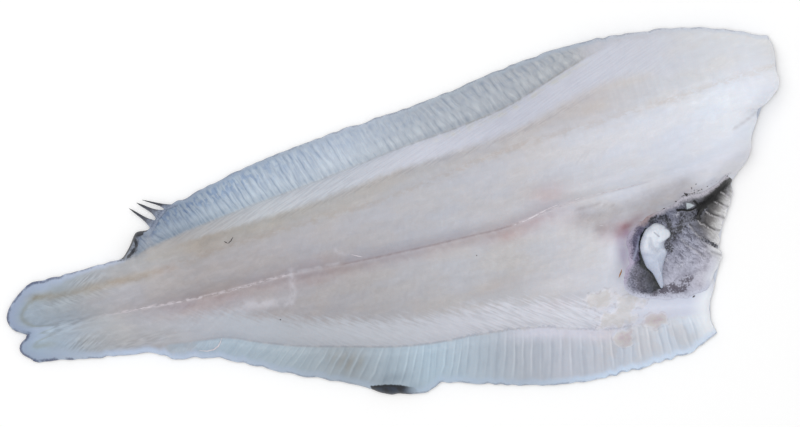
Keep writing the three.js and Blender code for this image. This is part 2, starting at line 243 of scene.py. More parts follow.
def edge_distances(x, y, of_flesh):
    """Distances in mm, square to each line, from the belly edge, the back edge, the tail end and the cut."""
    here = plan_lines(x, of_flesh)
    ahead = plan_lines(x + 1, of_flesh)
    tail, tail_slope = tail_end(y, of_flesh), TAIL_END(y + 1) - TAIL_END(y)
    head, head_slope = head_end(y, of_flesh), HEAD_END(y + 1) - HEAD_END(y)
    distances = np.stack([
        (y - here[0]) / np.hypot(1, ahead[0] - here[0]),
        (here[4] - y) / np.hypot(1, ahead[4] - here[4]),
        (x - tail) / np.hypot(1, tail_slope),
        (head - x) / np.hypot(1, head_slope),
    ])
    return np.maximum(distances, 0)


print("widest place from an edge, mm:", edge_distances(outline_x, outline_y, False).min(0).max().round(1))

# %% [markdown]
# ## How thick the flesh is
#
# The two loins are long low pillows, thickest near the head, and the fin bands slope down from their creases
# to a thin edge. Thickness is worked out from the place on the plan, as a height above the skin. That keeps
# every piece that lies on the flesh, such as the membrane in the hollow, on the same surface.

# %% Height of the flesh above the skin
FLESH_FLOOR = 1.8
RIM_FLOOR = 1.1
EDGE_HEIGHT = 2.4
LEAST_HEIGHT = 1.2
LEAST_WIDTH = 1e-6
EDGE_ROUND = 4.0
EDGE_SHARE = 0.15
SEAM_SHARE = 0.84
SEAM_DEPTH = 1.8
SEAM_WIDTH = 4.5
CREASE_DEPTH = 1.3
CREASE_WIDTH = 3.5
NARROW_BAND = 6
WIDE_BAND = 15
NARROW_ROUND = 15
NARROW_SHARE = 0.25
CLOSING = 0.98
ROOT_SHARE = 0.9
FULL_SEAM = 24
HEAD_ROUND = (20, 0.42)
TAIL_ROUND = (18, 0.45)
BACK_LOIN = through([
    (-283, 4.5), (-250, 8), (-200, 12), (-120, 18), (-20, 24), (90, 29), (180, 31), (240, 28), (283, 23),
])
BELLY_LOIN = through([
    (-283, 4.5), (-250, 7.5), (-200, 10.5), (-120, 15), (-20, 20), (90, 23), (150, 21), (215, 15),
])
BAND_ROOT = through([(-283, 4), (-200, 7), (-120, 9), (0, 10.5), (150, 11), (283, 13)])
HOLLOW_OUTLINE = np.array([
    (250, 8), (235, 1), (217, -8), (203, -14), (177, -13.5), (160, -20), (150, -34), (143, -52), (149, -64),
    (180, -70), (204, -75), (235, -82),
], float)
HOLLOW_FLOOR = 5
HOLLOW_SLOPE = (-12, 6)


def round_end(distance, reach, share):
    """Rises on a quarter circle from a share to 1 over the reach."""
    f = 1 - np.clip(distance / reach, 0, 1)
    return share + (1 - share) * np.sqrt(1 - f * f)


def flesh_height(x, y):
    """Height of the flesh in mm above its floor at a place on the plan."""
    lines = plan_lines(x, True)
    bands = (lines[1] - lines[0], lines[4] - lines[3])
    closed = [1 - ease(band, NARROW_BAND, WIDE_BAND) for band in bands]
    lines[1] += CLOSING * closed[0] * (lines[0] - lines[1])
    lines[3] += CLOSING * closed[1] * (lines[4] - lines[3])
    strip = np.clip((y > lines[1]).astype(int) + (y > lines[2]) + (y > lines[3]), 0, 3)[None]
    low = picked(lines, strip)
    width = np.maximum(picked(lines, strip + 1) - low, LEAST_WIDTH)
    share = np.clip((y - low) / width, 0, 1)
    root = BAND_ROOT(x)
    seam_height = SEAM_SHARE * BACK_LOIN(x)
    edges = [EDGE_HEIGHT + (ROOT_SHARE * root - EDGE_HEIGHT) * narrow for narrow in closed]
    heights = np.stack([edges[0], root, seam_height, root, edges[1]])
    crowns = np.stack([
        (root - edges[0]) / 4,
        BELLY_LOIN(x) - (root + seam_height) / 2,
        BACK_LOIN(x) - (root + seam_height) / 2,
        (root - edges[1]) / 4,
    ])
    start = picked(heights, strip)
    finish = picked(heights, strip + 1)
    height = start + (finish - start) * share + picked(crowns, strip) * 4 * share * (1 - share)
    height = height - SEAM_DEPTH * bell(y - lines[2], SEAM_WIDTH) * np.clip(seam_height / FULL_SEAM, 0, 1)
    for line, narrow in zip((lines[1], lines[3]), closed):
        height = height - (1 - narrow) * CREASE_DEPTH * bell(y - line, CREASE_WIDTH)
    height = height * round_end(HEAD_END(y) - x, *HEAD_ROUND) * round_end(x - TAIL_END(y), *TAIL_ROUND)
    for off, narrow in zip((y - lines[0], lines[4] - y), closed):
        height = height * (1 - narrow * (1 - round_end(np.maximum(off, 0), NARROW_ROUND, NARROW_SHARE)))
    sunk = ease(depth_inside(HOLLOW_OUTLINE, x, y), *HOLLOW_SLOPE)
    return np.maximum(height + (HOLLOW_FLOOR - height) * sunk, LEAST_HEIGHT)


def flesh_top(x, y):
    """Z in mm of the flesh's upper surface, rounded off at the edges."""
    off = edge_distances(x, y, True).min(0)
    rise = FLESH_FLOOR - RIM_FLOOR + flesh_height(x, y)
    return RIM_FLOOR + rise * round_end(off, EDGE_ROUND, EDGE_SHARE)


print("thickest flesh, mm:", flesh_height(outline_x, outline_y).max().round(1))

# %% [markdown]
# ## Sums on sockets
#
# The same kind of sum is needed in shaders and in Geometry Nodes: the ribs of the fin bands are relief in one
# and colour in the other. A small class wraps a socket, so that a sum written in Python adds the Math nodes,
# and one method makes every other node. It works in both kinds of tree, so a rule can be written once.

# %% A socket that can be used like a number
SEED_STEP = (31.7, 17.3)


class Wire:
    """One output socket, which adds Math nodes when it is used in a sum."""

    def __init__(self, graph, socket):
        self.graph = graph
        self.socket = socket

    def __add__(self, other):
        return self.graph.maths("ADD", self, other)

    def __sub__(self, other):
        return self.graph.maths("SUBTRACT", self, other)

    def __rsub__(self, other):
        return self.graph.maths("SUBTRACT", other, self)

    def __mul__(self, other):
        return self.graph.maths("MULTIPLY", self, other)

    def __truediv__(self, other):
        return self.graph.maths("DIVIDE", self, other)

    def __neg__(self):
        return self.graph.maths("MULTIPLY", self, -1.0)

    def __abs__(self):
        return self.graph.maths("ABSOLUTE", self)

    __radd__ = __add__
    __rmul__ = __mul__

    def most(self, other):
        return self.graph.maths("MAXIMUM", self, other)

    def ease(self, low, high):
        """The soft step from 0 at low to 1 at high."""
        span = {"From Min": low, "From Max": high, "Value": self}
        return self.graph.node("ShaderNodeMapRange", {"interpolation_type": "SMOOTHSTEP"}, span)

    def bell(self, width):
        """1 at 0, falling softly over about two widths."""
        share = self / width
        return self.graph.maths("EXPONENT", -(share * share))

    def arch(self):
        """Round tops with sharp valleys between them, one for each whole number."""
        return abs(self.graph.maths("SINE", self * math.pi))


class Graph:
    """A node tree that grows by one node for each call."""

    def __init__(self, tree):
        self.tree = tree
        self.tree.nodes.clear()
        self.in_shader = tree.bl_idname == "ShaderNodeTree"

    def node(self, kind, settings=None, sockets=None, out=0):
        """A node of any type: its settings first, then a value or a link for each socket that is named."""
        made = self.tree.nodes.new(kind)
        for name, value in (settings or {}).items():
            if name == "stops":
                set_stops(made.color_ramp, value)
            else:
                setattr(made, name, value)
        for name, value in (sockets or {}).items():
            if isinstance(value, Wire):
                self.tree.links.new(value.socket, made.inputs[name])
            else:
                made.inputs[name].default_value = value
        return Wire(self, made.outputs[out]) if made.outputs else made

    def maths(self, operation, *values):
        return self.node("ShaderNodeMath", {"operation": operation}, dict(enumerate(values)))

    def mix(self, share, first, second, blend="MIX"):
        """The first colour, going over to the second as the share goes from 0 to 1."""
        settings = {"data_type": "RGBA", "blend_type": blend}
        return self.node("ShaderNodeMix", settings, {0: share, 6: first, 7: second}, 2)

    def tint(self, share, colour, factors):
        """The colour times three factors, as far as the share says."""
        return self.mix(share, colour, (*factors, 1.0), "MULTIPLY")

    def ramp(self, wire, colours):
        """Colours at places along a value, each going over to the next."""
        low, high = min(colours), max(colours)
        stops = [((place - low) / (high - low), colour) for place, colour in sorted(colours.items())]
        return self.node("ShaderNodeValToRGB", {"stops": stops}, {0: (wire - low) / (high - low)})

    def vector(self, x, y, z=0.0):
        return self.node("ShaderNodeCombineXYZ", None, {0: x, 1: y, 2: z})

    def field(self, name):
        """A number that the mesh keeps at each point."""
        if self.in_shader:
            return self.node("ShaderNodeAttribute", {"attribute_name": name}, None, "Fac")
        return self.node("GeometryNodeInputNamedAttribute", {"data_type": "FLOAT"}, {"Name": name})

    def place(self):
        """X, Y and Z on the plan, in mm."""
        if self.in_shader:
            spot = self.node("ShaderNodeTexCoord", None, None, "Object")
        else:
            spot = self.node("GeometryNodeInputPosition")
        apart = [self.node("ShaderNodeSeparateXYZ", None, {0: spot}, axis) for axis in range(3)]
        return [axis / MM - float(move) for axis, move in zip(apart, SHIFT)]

    def noise(self, spot, size, seed, detail=2.0, roughness=0.5):
        """Soft random values about 0.5, with blots of the given size in the units of the spot."""
        start = (*(seed * step * size for step in SEED_STEP), 0.0)
        moved = self.node("ShaderNodeVectorMath", {"operation": "ADD"}, {0: spot, 1: start})
        sockets = {"Vector": moved, "Scale": 1.0 / size, "Detail": detail, "Roughness": roughness}
        return self.node("ShaderNodeTexNoise", {"noise_dimensions": "2D"}, sockets)


def set_stops(ramp, stops):
    """Gives a colour ramp its stops, from the first to the last."""
    while len(ramp.elements) < len(stops):
        ramp.elements.new(1.0)
    for element, (place, colour) in zip(ramp.elements, stops):
        element.position = place
        element.color = colour


print("socket sums ready")

# %% [markdown]
# ## Meshes from arrays
#
# Each large piece starts as a grid or as rings of points, with its edge closed by a wall and its underside by
# a second grid or one flat face. Fields that the finish needs, such as the distance from the seam, are kept
# on the points as attributes. A Geometry Nodes tree then shapes the mesh, and the result is kept as a plain
# mesh.

# %% Grids, fields and grown meshes
def new_object(name, points, faces, edges=()):
    """A mesh object at the origin from points in plan mm."""
    mesh = bpy.data.meshes.new(name)
    mesh.from_pydata(((points + SHIFT) * MM).tolist(), list(edges), faces)
    mesh.validate()
    obj = bpy.data.objects.new(name, mesh)
    bpy.context.scene.collection.objects.link(obj)
    return obj


def grid_faces(rows, columns, first=0, turned=False):
    """Quads of a grid whose points are counted row by row, facing up unless turned."""
    a = first + np.arange(rows * columns).reshape(rows, columns)
    quads = np.stack([a[:-1, :-1], a[:-1, 1:], a[1:, 1:], a[1:, :-1]], -1).reshape(-1, 4)
    return (quads[:, ::-1] if turned else quads).tolist()


def grid_rim(rows, columns):
    """The outer points of a grid, counter-clockwise from above."""
    a = np.arange(rows * columns).reshape(rows, columns)
    return np.concatenate([a[0, :], a[1:, -1], a[-1, -2::-1], a[-2:0:-1, 0]])


def wall_faces(upper, lower):
    """Quads of the wall between two rims whose points are counted the same way round."""
    return np.stack([lower, np.roll(lower, -1), np.roll(upper, -1), upper], -1).tolist()


def ring_grid(rings, spokes):
    """The numbers of points on rings, each point's neighbour, and the quads between the rings."""
    a = np.arange(rings * spokes).reshape(rings, spokes)
    b = np.roll(a, -1, 1)
    return a, b, np.stack([a[:-1], b[:-1], b[1:], a[1:]], -1).reshape(-1, 4)


def shrunk(rim, middle, shares):
    """X and Y of rings that shrink from a rim to its middle."""
    return [middle[axis] + (rim[:, axis] - middle[axis]) * shares for axis in (0, 1)]


def keep_fields(obj, fields):
    """Keeps numbers on the points of a mesh, by name."""
    for name, values in fields.items():
        layer = obj.data.attributes.new(name, "FLOAT", "POINT")
        layer.data.foreach_set("value", np.ascontiguousarray(values, np.float32).ravel())


def soften(obj, corner=50):
    """Smooth shading, apart from edges sharper than a corner in degrees."""
    obj.data.shade_smooth()
    obj.data.set_sharp_from_angle(angle=math.radians(corner))


def triangles(obj):
    return sum(len(face.vertices) - 2 for face in obj.data.polygons)


print("mesh helpers ready")

# %% [markdown]
# A tree starts from a mesh and named inputs. Its last two nodes are always the same: Realize Instances and
# Set Material. The modifier is run once and taken off again, so that what stays is a plain mesh.

# %% Trees of Geometry Nodes
def new_tree(name, inputs):
    """An empty Geometry Nodes tree with named inputs and the wires of those inputs."""
    tree = bpy.data.node_groups.new(name, "GeometryNodeTree")
    tree.interface.new_socket("Geometry", in_out="INPUT", socket_type="NodeSocketGeometry")
    tree.interface.new_socket("Geometry", in_out="OUTPUT", socket_type="NodeSocketGeometry")
    for label, value in inputs.items():
        kind = "NodeSocketMaterial" if value is None else "NodeSocketFloat"
        made = tree.interface.new_socket(label, in_out="INPUT", socket_type=kind)
        if value is not None:
            made.default_value = value
    graph = Graph(tree)
    source = graph.node("NodeGroupInput")
    wires = {label: Wire(graph, source.socket.node.outputs[label]) for label in ["Geometry", *inputs]}
    return graph, wires


def end_tree(graph, shape, finish):
    """Ends a tree with real geometry in one finish."""
    real = graph.node("GeometryNodeRealizeInstances", None, {"Geometry": shape})
    dressed = graph.node("GeometryNodeSetMaterial", None, {"Geometry": real, "Material": finish})
    graph.node("NodeGroupOutput", None, {"Geometry": dressed})
    return graph.tree


def grow(obj, tree, inputs):
    """Runs a tree on an object once and keeps what it made as a plain mesh."""
    modifier = obj.modifiers.new(tree.name, "NODES")
    modifier.node_group = tree
    for item in tree.interface.items_tree:
        if item.in_out == "INPUT" and item.name in inputs:
            modifier[item.identifier] = inputs[item.name]
    depsgraph = bpy.context.evaluated_depsgraph_get()
    mesh = bpy.data.meshes.new_from_object(
        obj.evaluated_get(depsgraph), preserve_all_data_layers=True, depsgraph=depsgraph
    )
    obj.modifiers.remove(modifier)
    mesh.name = obj.name
    obj.data = mesh
    soften(obj)
    return obj


print("tree helpers ready")

# %% [markdown]
# ## Colours
#
# Raw white fish is never white: it is a dozen close greys, bluer where it is thin and warmer where there is
# fat. Colours are given as screen values, so one helper turns them into the linear values that a
# shader mixes. Mottling is done with tints, which multiply, so that it is as strong on a dark place as on a
# pale one.

# %% Screen colours, tints and a wet finish
WARM = (1.015, 1.0, 0.975)
COOL = (0.98, 0.997, 1.02)
PALE = (1.05, 1.05, 1.05)
SHADE = (0.96, 0.96, 0.96)


def tone(red, green, blue):
    """A screen colour of 0 to 255 as a linear colour."""
    shares = [value / 255 for value in (red, green, blue)]
    return tuple(s / 12.92 if s <= 0.04045 else ((s + 0.055) / 1.055) ** 2.4 for s in shares) + (1.0,)


def new_finish(name):
    """An empty material and its graph."""
    material = bpy.data.materials.new(name)
    material.use_nodes = True
    return material, Graph(material.node_tree)


def wet_surface(graph, colour, roughness, height, relief_mm, soft=0.0, coat=0.15):
    """Ends a finish: a moist surface with a fine relief and light that passes a little way in."""
    bump = graph.node("ShaderNodeBump", None, {"Strength": 1.0, "Distance": relief_mm * MM, "Height": height})
    sockets = {
        "Base Color": colour, "Roughness": roughness, "Normal": bump, "Coat Weight": coat,
        "Coat Roughness": 0.25, "Specular IOR Level": 0.4, "Subsurface Weight": soft,
        "Subsurface Scale": 0.004, "Subsurface Radius": (1.0, 0.7, 0.6),
    }
    shader = graph.node("ShaderNodeBsdfPrincipled", None, sockets)
    graph.node("ShaderNodeOutputMaterial", None, {"Surface": shader})


print("mid grey in linear:", round(tone(128, 128, 128)[0], 3))

# %% [markdown]
# ## Ribs of the fin muscle
#
# Along both edges lie the small muscles that move the fin rays, one beside the other like the teeth of a
# comb. They lean, and they grow wider towards the head. A counter that goes up by one for each muscle is kept
# on the mesh, so that relief and colour can both be written as rules on that counter.

# %% A counter of fin muscles along each edge
BACK_PITCH = through([(-200, 3.6), (-120, 4.4), (-40, 5.2), (40, 6.2), (160, 6.8), (283, 7)])
BELLY_PITCH = through([(-200, 4.6), (-90, 5.0), (0, 6.4), (120, 7), (200, 7.4)])
BACK_LEAN = through([(-200, 26), (-100, 21), (0, 20), (60, 25), (160, 27)])
BELLY_LEAN = through([(-160, 44), (-88, 38), (-40, 30), (27, 18), (90, 12), (145, 3), (200, -10)])
RIB_SEED = 21
RIB_START = -320
RIB_SAMPLES = 1301
RIB_REACH = 330
RIB_STEP = 6
RIB_UNEVEN = 0.13


def rib_counter(pitch, seed):
    """A count of muscles at X, for muscles of an uneven width about the pitch."""
    x = np.linspace(RIB_START, RIB_REACH, RIB_SAMPLES)
    uneven = 1 + uneven_curve(seed, RIB_REACH, RIB_STEP, RIB_UNEVEN)(x)
    count = np.cumsum((x[1] - x[0]) / (pitch(x) * uneven))
    return lambda where: np.interp(where, x, count)


back_counter = rib_counter(BACK_PITCH, RIB_SEED)
belly_counter = rib_counter(BELLY_PITCH, RIB_SEED + 1)
print("muscles in the back band:", int(back_counter(280) - back_counter(-190)))

# %% [markdown]
# ## The flesh as a fine grid
#
# Each row of the grid follows the five lines, so creases and bands stay crisp without a huge mesh. Rows are
# close together in the bands, where the ribs are, and further apart on the smooth loins. The fields for the
# finish are worked out here as well: distances in mm from the seam, the septum, the creases and the edge.

# %% Grid of the flesh and its fields
FLESH_COLUMNS = 690
FLESH_ROWS = (24, 50, 40, 22)
END_CROWDING = 0.12
EDGE_CROWDING = 1.3
SEPTUM = through([
    (-275, 32), (-264, 30), (-247, 26.8), (-220, 26), (-202, 26.6), (-187, 26.5), (-167, 27.5), (-119, 33.6),
    (-7, 41), (87, 55.5), (162, 60.5), (218, 65.5), (274, 70),
])


def crowded(count, share):
    """Places from 0 to 1 that lie closer together at both ends."""
    even = np.linspace(0, 1, count)
    return (1 - share) * even + share * (0.5 - 0.5 * np.cos(np.pi * even))


even_rows = [np.linspace(i, i + 1, n, endpoint=False) for i, n in enumerate(FLESH_ROWS)]
even_rows[0] = even_rows[0] ** EDGE_CROWDING
even_rows[3] = 4 - (4 - even_rows[3]) ** EDGE_CROWDING
flesh_rows = np.concatenate(even_rows + [[4.0]])
flesh_x, flesh_y = plan_grid(flesh_rows, crowded(FLESH_COLUMNS, END_CROWDING), True)
flesh_z = flesh_top(flesh_x, flesh_y)
lines = plan_lines(flesh_x, True)
past_back = flesh_y - lines[3]
past_belly = lines[1] - flesh_y
back_lean = np.tan(np.radians(BACK_LEAN(flesh_x)))
belly_lean = np.tan(np.radians(BELLY_LEAN(flesh_x)))
from_edges = edge_distances(flesh_x, flesh_y, True)
flesh_fields = {
    "seam_off": flesh_y - lines[2],
    "septum_off": flesh_y - SEPTUM(flesh_x),
    "edge_off": from_edges[:3].min(0),
    "past_back": past_back,
    "past_belly": past_belly,
    "back_share": np.clip(past_back / np.maximum(lines[4] - lines[3], 1), 0, 1),
    "belly_share": np.clip(past_belly / np.maximum(lines[1] - lines[0], 1), 0, 1),
    "back_open": ease(lines[4] - lines[3], NARROW_BAND, WIDE_BAND),
    "belly_open": ease(lines[1] - lines[0], NARROW_BAND, WIDE_BAND),
    "back_rib": back_counter(flesh_x - back_lean * (lines[4] - flesh_y)),
    "belly_rib": belly_counter(flesh_x - belly_lean * (flesh_y - lines[0])),
    "calm": ease(depth_inside(HOLLOW_OUTLINE, flesh_x, flesh_y), -4, 2),
    "cut_off": from_edges[3],
}
print("flesh grid:", flesh_x.shape, "highest point, mm:", flesh_z.max().round(1))

# %% [markdown]
# ## Marks on the flesh
#
# No two fillets have the same marks. This one has pink blushes beside the seam and the hollow, whiter patches
# of connective tissue, feathered fibres at the tail, lumps of fat by the hollow and black skin at two places
# of the edge. Painted shade is here too: the dim paths, where the flesh dips above the hollow and along a line
# near the head end, and the spots just above the dark flap, which share a field with the grey skin of the fin
# stub. Soft marks are spots with a place, two radii and a strength, thin ones are drawn paths, and the marks
# of one kind make up one field on the mesh.

# %% Spots, lines and lumps
MARKS = {
    "rose": [
        (154, -15.6, 6, 2.8, 1), (147.5, -19, 5, 3.6, 0.7), (162, -12.6, 6, 2.4, 0.5),
        (170, -10.6, 6, 2.2, 0.2),
    ],
    "lilac": [(147.5, -24, 4, 6, 0.9), (147.5, -33, 4, 7, 0.9), (146.5, -42, 3, 5, 0.5)],
    "rust": [(-66, -60, 5, 7, 0.5), (-57, -65, 6, 7, 1), (-48, -66, 4, 6, 0.6), (96, -80, 5, 8, 0.5)],
    "pink": [
        (105, 18.5, 12, 7, 1), (148, -13, 12, 4, 0.6), (138, -18, 7, 7, 0.8), (166, -9, 8, 2.5, 0.4),
        (159, -85, 8, 4.6, 1), (135, -91.5, 8, 5.5, 1), (-70, -3, 22, 4.5, 0.6), (-60, 9, 18, 4, 0.4),
        (-150, -4, 34, 6, 0.35), (92, 2, 14, 3.5, 0.7), (-165, 27, 8, 3, 0.4), (-222, 17, 8, 3, 0.3),
        (118, -2, 12, 6, 0.4), (96, -58, 12, 4, 0.3), (60, -36, 26, 5, 0.2), (74, -3.4, 16, 4.5, 1),
    ],
    "mauve": [(152, -19.6, 3.4, 4, 1)],
    "fat": [
        (-120, 41, 40, 5, 0.7), (-60, 47, 40, 6, 0.5), (20, 55, 55, 6, 0.4), (-175, 36, 26, 3.5, 0.6),
        (204, 0, 22, 7, 0.5), (172, -6, 18, 4.5, 0.8), (172, -11.4, 8, 3, 1), (-150, -18, 34, 4, 0.5),
        (-96, -24, 22, 4, 0.5), (30, -40, 60, 8, 0.4), (60, -28, 30, 8, 0.3), (120, -26, 20, 14, 0.5),
        (-232, -10, 10, 4, 0.4), (176, 84, 14, 7, 0.5), (226, 40, 14, 12, 0.4), (-30, 26, 26, 7, 0.3),
        (187, -89, 9, 4, 0.5),
    ],
    "white": [
        (142, -34, 5, 8, 1), (141, -46, 6, 10, 1), (138, -55, 6, 6, 0.8), (178, -76, 26, 4, 0.8),
        (262, 60, 24, 28, 0.6), (150, 18, 36, 3.5, 0.4), (234, 22, 26, 12, 0.6), (200, 40, 60, 14, 0.3),
        (100, -44, 26, 8, 0.35), (60, 12, 60, 7, 0.2), (192, -98, 12, 8, 0.5), (-110, -12, 18, 2.5, 0.3),
        (82, -74, 20, 3.5, 0.4),
    ],
    # Grey skin beside the fin stub, and painted shadow just above the dark flap at the belly edge.
    "dusk": [(-183, 49, 4, 5, 0.5), (-177, 54, 5, 3, 0.5), (-28, -83, 11, 4, 0.6), (-15, -92, 6, 3, 0.3)],
    "ink": [
        (197, -4, 7, 3.5, 0.8), (208, -3, 7, 4, 0.8), (186, -7.5, 8, 2.5, 0.5), (220, 1, 6, 2.5, 0.8),
        (230, 4, 4, 1.5, 0.9), (174, -9, 6, 2, 0.3),
    ],
    "barbs_up": [(-222, 32, 11, 4, 1), (-234, -11, 13, 6, 1)],
    "barbs_down": [(-243, 21, 14, 4, 0.9), (-215, 22, 14, 3, 0.5)],
    "barbs_flat": [(-246, 4.5, 20, 5, 1), (-195, -18, 30, 4, 0.6)],
}
PATHS = {
    "pigment": [
        ([(-194, 42), (-189.4, 46.2), (-186.4, 49.8), (-182, 56.2), (-179, 57.2), (-174, 57)], 1.5),
        ([(-190, 41.6), (-188, 42.6)], 1.2), ([(-186.4, 43.8), (-184.6, 45.4)], 1.4),
        ([(-182.4, 47.6), (-182.2, 50), (-183, 52.5)], 1.3), ([(-181, 55.4), (-177.6, 55.6)], 2.2),
    ],
    "pale_line": [
        ([(-81, 6.5), (-82, -1), (-82.6, -8), (-86, -16)], 2.4), ([(-48, 15), (-46.6, 11), (-38, 8.5)], 1.2),
        ([(-76, 4.6), (-62, 4.6), (-47, 4.2)], 1.2), ([(-118, -9), (-100, -12), (-88, -15)], 2.6),
    ],
    "dark_line": [([(257, 24), (254.5, 17), (249.5, 11), (244, 5), (239.5, 1)], 1.5)],
    # Painted shade: where the flesh dips above the hollow, and a soft shade line near the head end.
    "dim": [
        ([(126, -3), (138, -4), (152, -6), (167, -2.5), (182, -0.5), (197, 2)], 9.2),
        ([(134, -12), (145, -14)], 6),
        ([(120.4, 2.2), (125, 3.6), (130.4, 4.1), (137.5, 3.6), (147.5, 0.2)], 1.3),
        ([(241, 33.6), (246, 35.4), (251, 37.4), (259, 41.4)], 1.0),
    ],
}
DARK_FLAP = np.array([
    (-45.5, -84.5), (-40, -85.2), (-33, -86.3), (-25, -88.6), (-16, -92.3), (-10, -99), (-30, -99),
    (-38, -94), (-44, -89),
])
DARK_STUB = np.array([
    (-198, 40), (-192, 47), (-187, 54), (-182.6, 59), (-178, 60), (-173, 58), (-176, 55.4), (-179, 52.6),
    (-181, 48), (-183.6, 43.2), (-189, 39.6),
])
FAT_LUMPS = [
    (142.5, -69.2, 9.6, 5.8), (159, -84.5, 7.6, 4.6), (135, -91.5, 6.6, 5.4), (125, -62.6, 10, 7),
    (133, -77, 14, 5),
]


def spots(places, x, y):
    """Soft spots added up, each with its place, two radii and strength."""
    total = np.zeros(np.shape(x))
    for at_x, at_y, long, wide, strength in places:
        total += strength * bell((x - at_x) / long, 1) * bell((y - at_y) / wide, 1)
    return np.clip(total, 0, 1)


def drawn(paths, x, y):
    """Soft lines along paths, each with its width."""
    return np.max([bell(distance_to(path, x, y), width) for path, width in paths], 0)


lump_reach = np.min([np.hypot((flesh_x - x) / a, (flesh_y - y) / b) for x, y, a, b in FAT_LUMPS], 0)
flesh_fields |= {name: spots(places, flesh_x, flesh_y) for name, places in MARKS.items()}
flesh_fields |= {name: drawn(paths, flesh_x, flesh_y) for name, paths in PATHS.items()}
flesh_fields |= {"flap": depth_inside(DARK_FLAP, flesh_x, flesh_y), "lump_reach": lump_reach}
flesh_fields["stub"] = depth_inside(DARK_STUB, flesh_x, flesh_y)
print("fields on the flesh:", len(flesh_fields))

# %% [markdown]
# ## Relief of the flesh
#
# The ribs could be modelled one by one, but they follow a rule, so Geometry Nodes raise them from the
# counters: long ribs at the tail side, two rows of short bundles further up the back, plain ribs along the
# belly. The same tree adds the faint arcs of the flakes and a slow unevenness, because nothing on a fish is a
# perfect curve.

# %% One rule for the ribs, and a tree that raises them
def window(wire, low, high):
    """A round-topped window on a value, 0 outside its ends."""
    share = (wire - low) / (high - low)
    return ((share * 4.0) * (1.0 - share)).most(0.0)


def uneven_ribs(graph, side, seed, force=0.8):
    """The counter of one band, bent so that no two muscles are alike, and the share of the band's width."""
    rib, share = graph.field(side + "_rib"), graph.field(side + "_share")
    bend = graph.noise(graph.vector(rib * 0.4, share * 1.4), 1.0, seed, 2.0)
    return rib + (bend - 0.5) * force, share


def back_bundles(graph, x):
    """0 in the grooves and up to 1 on the muscles of the back band."""
    rib, share = uneven_ribs(graph, "back", 51)
    long_ribs = rib.arch() * window(share, -0.05, 1.0)
    inner = rib.arch() * window(share, -0.08, 0.56)
    outer = (rib + 0.5).arch() * window(share, 0.36, 0.98)
    return long_ribs + (inner.most(outer) - long_ribs) * x.ease(-50, 30)


def belly_bundles(graph):
    """0 in the grooves and up to 1 on the muscles of the belly band."""
    rib, share = uneven_ribs(graph, "belly", 52, 0.45)
    return rib.arch() * window(share, -0.06, 0.92)


def flesh_relief_tree():
    sizes = {"Back ribs": 0.0, "Belly ribs": 0.0, "Flakes": 0.0, "Swell": 0.0, "Lumps": 0.0, "Finish": None}
    graph, given = new_tree("flesh_relief", sizes)
    x, y, _ = graph.place()
    ribs = back_bundles(graph, x) * graph.field("back_open") * given["Back ribs"]
    ribs = ribs + belly_bundles(graph) * graph.field("belly_open") * given["Belly ribs"]
    inside = graph.field("edge_off").ease(1.0, 9.0) * (1.0 - graph.field("calm"))
    seam_off = graph.field("seam_off")
    patchy = graph.noise(graph.vector(x, y), 30.0, 6).ease(0.42, 0.62)
    flakes = ((x + seam_off * seam_off * 0.011) / 13.0).arch() * inside * patchy * given["Flakes"]
    slow = graph.noise(graph.vector(x * 0.5, y), 16.0, 3) + graph.noise(graph.vector(x, y), 6.0, 4) * 0.4
    swell = (slow - 0.7) * inside * given["Swell"] + graph.field("lump_reach").ease(1.3, 0.7) * given["Lumps"]
    lift = graph.vector(0.0, 0.0, ribs + flakes + swell)
    moved = graph.node("GeometryNodeSetPosition", None, {"Geometry": given["Geometry"], "Offset": lift})
    return end_tree(graph, moved, given["Finish"])


flesh_tree = flesh_relief_tree()
print("relief tree nodes:", len(flesh_tree.nodes))

# %% [markdown]
# ## Tones of the flesh
#
# Flesh shows what is under it: thick loins are a milky grey, thin edges take a blue cast from the skin below,
# and the strips beside the creases are white with fibres. Each zone has a row of tones from the tail to the
# head, and the zones are mixed by the distances on the mesh.

# %% Tones along the fillet, by zone
UPPER_TONES = {
    -265: tone(152, 166, 181), -240: tone(157, 167, 177), -205: tone(171, 173, 178),
    -170: tone(174, 172, 173), -135: tone(159, 153, 149), -90: tone(167, 165, 163), 60: tone(183, 182, 187),
    150: tone(191, 187, 189), 200: tone(204, 205, 211), 275: tone(221, 223, 227),
}
COOL_TONES = {
    -265: tone(152, 166, 181), -240: tone(150, 159, 170), -200: tone(175, 173, 178),
    -145: tone(162, 157, 159), -90: tone(169, 166, 171), 30: tone(181, 182, 190), 90: tone(191, 190, 196),
    150: tone(206, 208, 217), 205: tone(216, 220, 231), 240: tone(231, 237, 247), 275: tone(238, 243, 252),
}
LOWER_TONES = {
    -265: tone(158, 176, 193), -240: tone(157, 168, 181), -205: tone(171, 172, 177),
    -150: tone(168, 164, 170), -70: tone(165, 162, 166), -30: tone(169, 167, 171), 30: tone(183, 183, 189),
    70: tone(186, 185, 189), 110: tone(200, 200, 207), 140: tone(210, 212, 221), 170: tone(212, 214, 224),
}
BACK_STRIP_TONES = {
    -180: tone(168, 168, 172), -120: tone(178, 180, 185), -90: tone(190, 195, 203), -30: tone(192, 197, 208),
    30: tone(204, 207, 220), 90: tone(194, 197, 211), 250: tone(208, 211, 223),
}
BELLY_STRIP_TONES = {
    -210: tone(181, 190, 202), -150: tone(187, 195, 207), -90: tone(180, 185, 194), -30: tone(192, 196, 205),
    30: tone(203, 205, 215), 100: tone(216, 218, 228), 200: tone(208, 214, 233),
}
BACK_TONES = {
    -195: tone(138, 148, 164), -150: tone(136, 150, 168), -110: tone(167, 181, 197), -30: tone(179, 190, 205),
    30: tone(168, 176, 187), 90: tone(167, 173, 182), 150: tone(172, 176, 182), 180: tone(182, 183, 193),
}
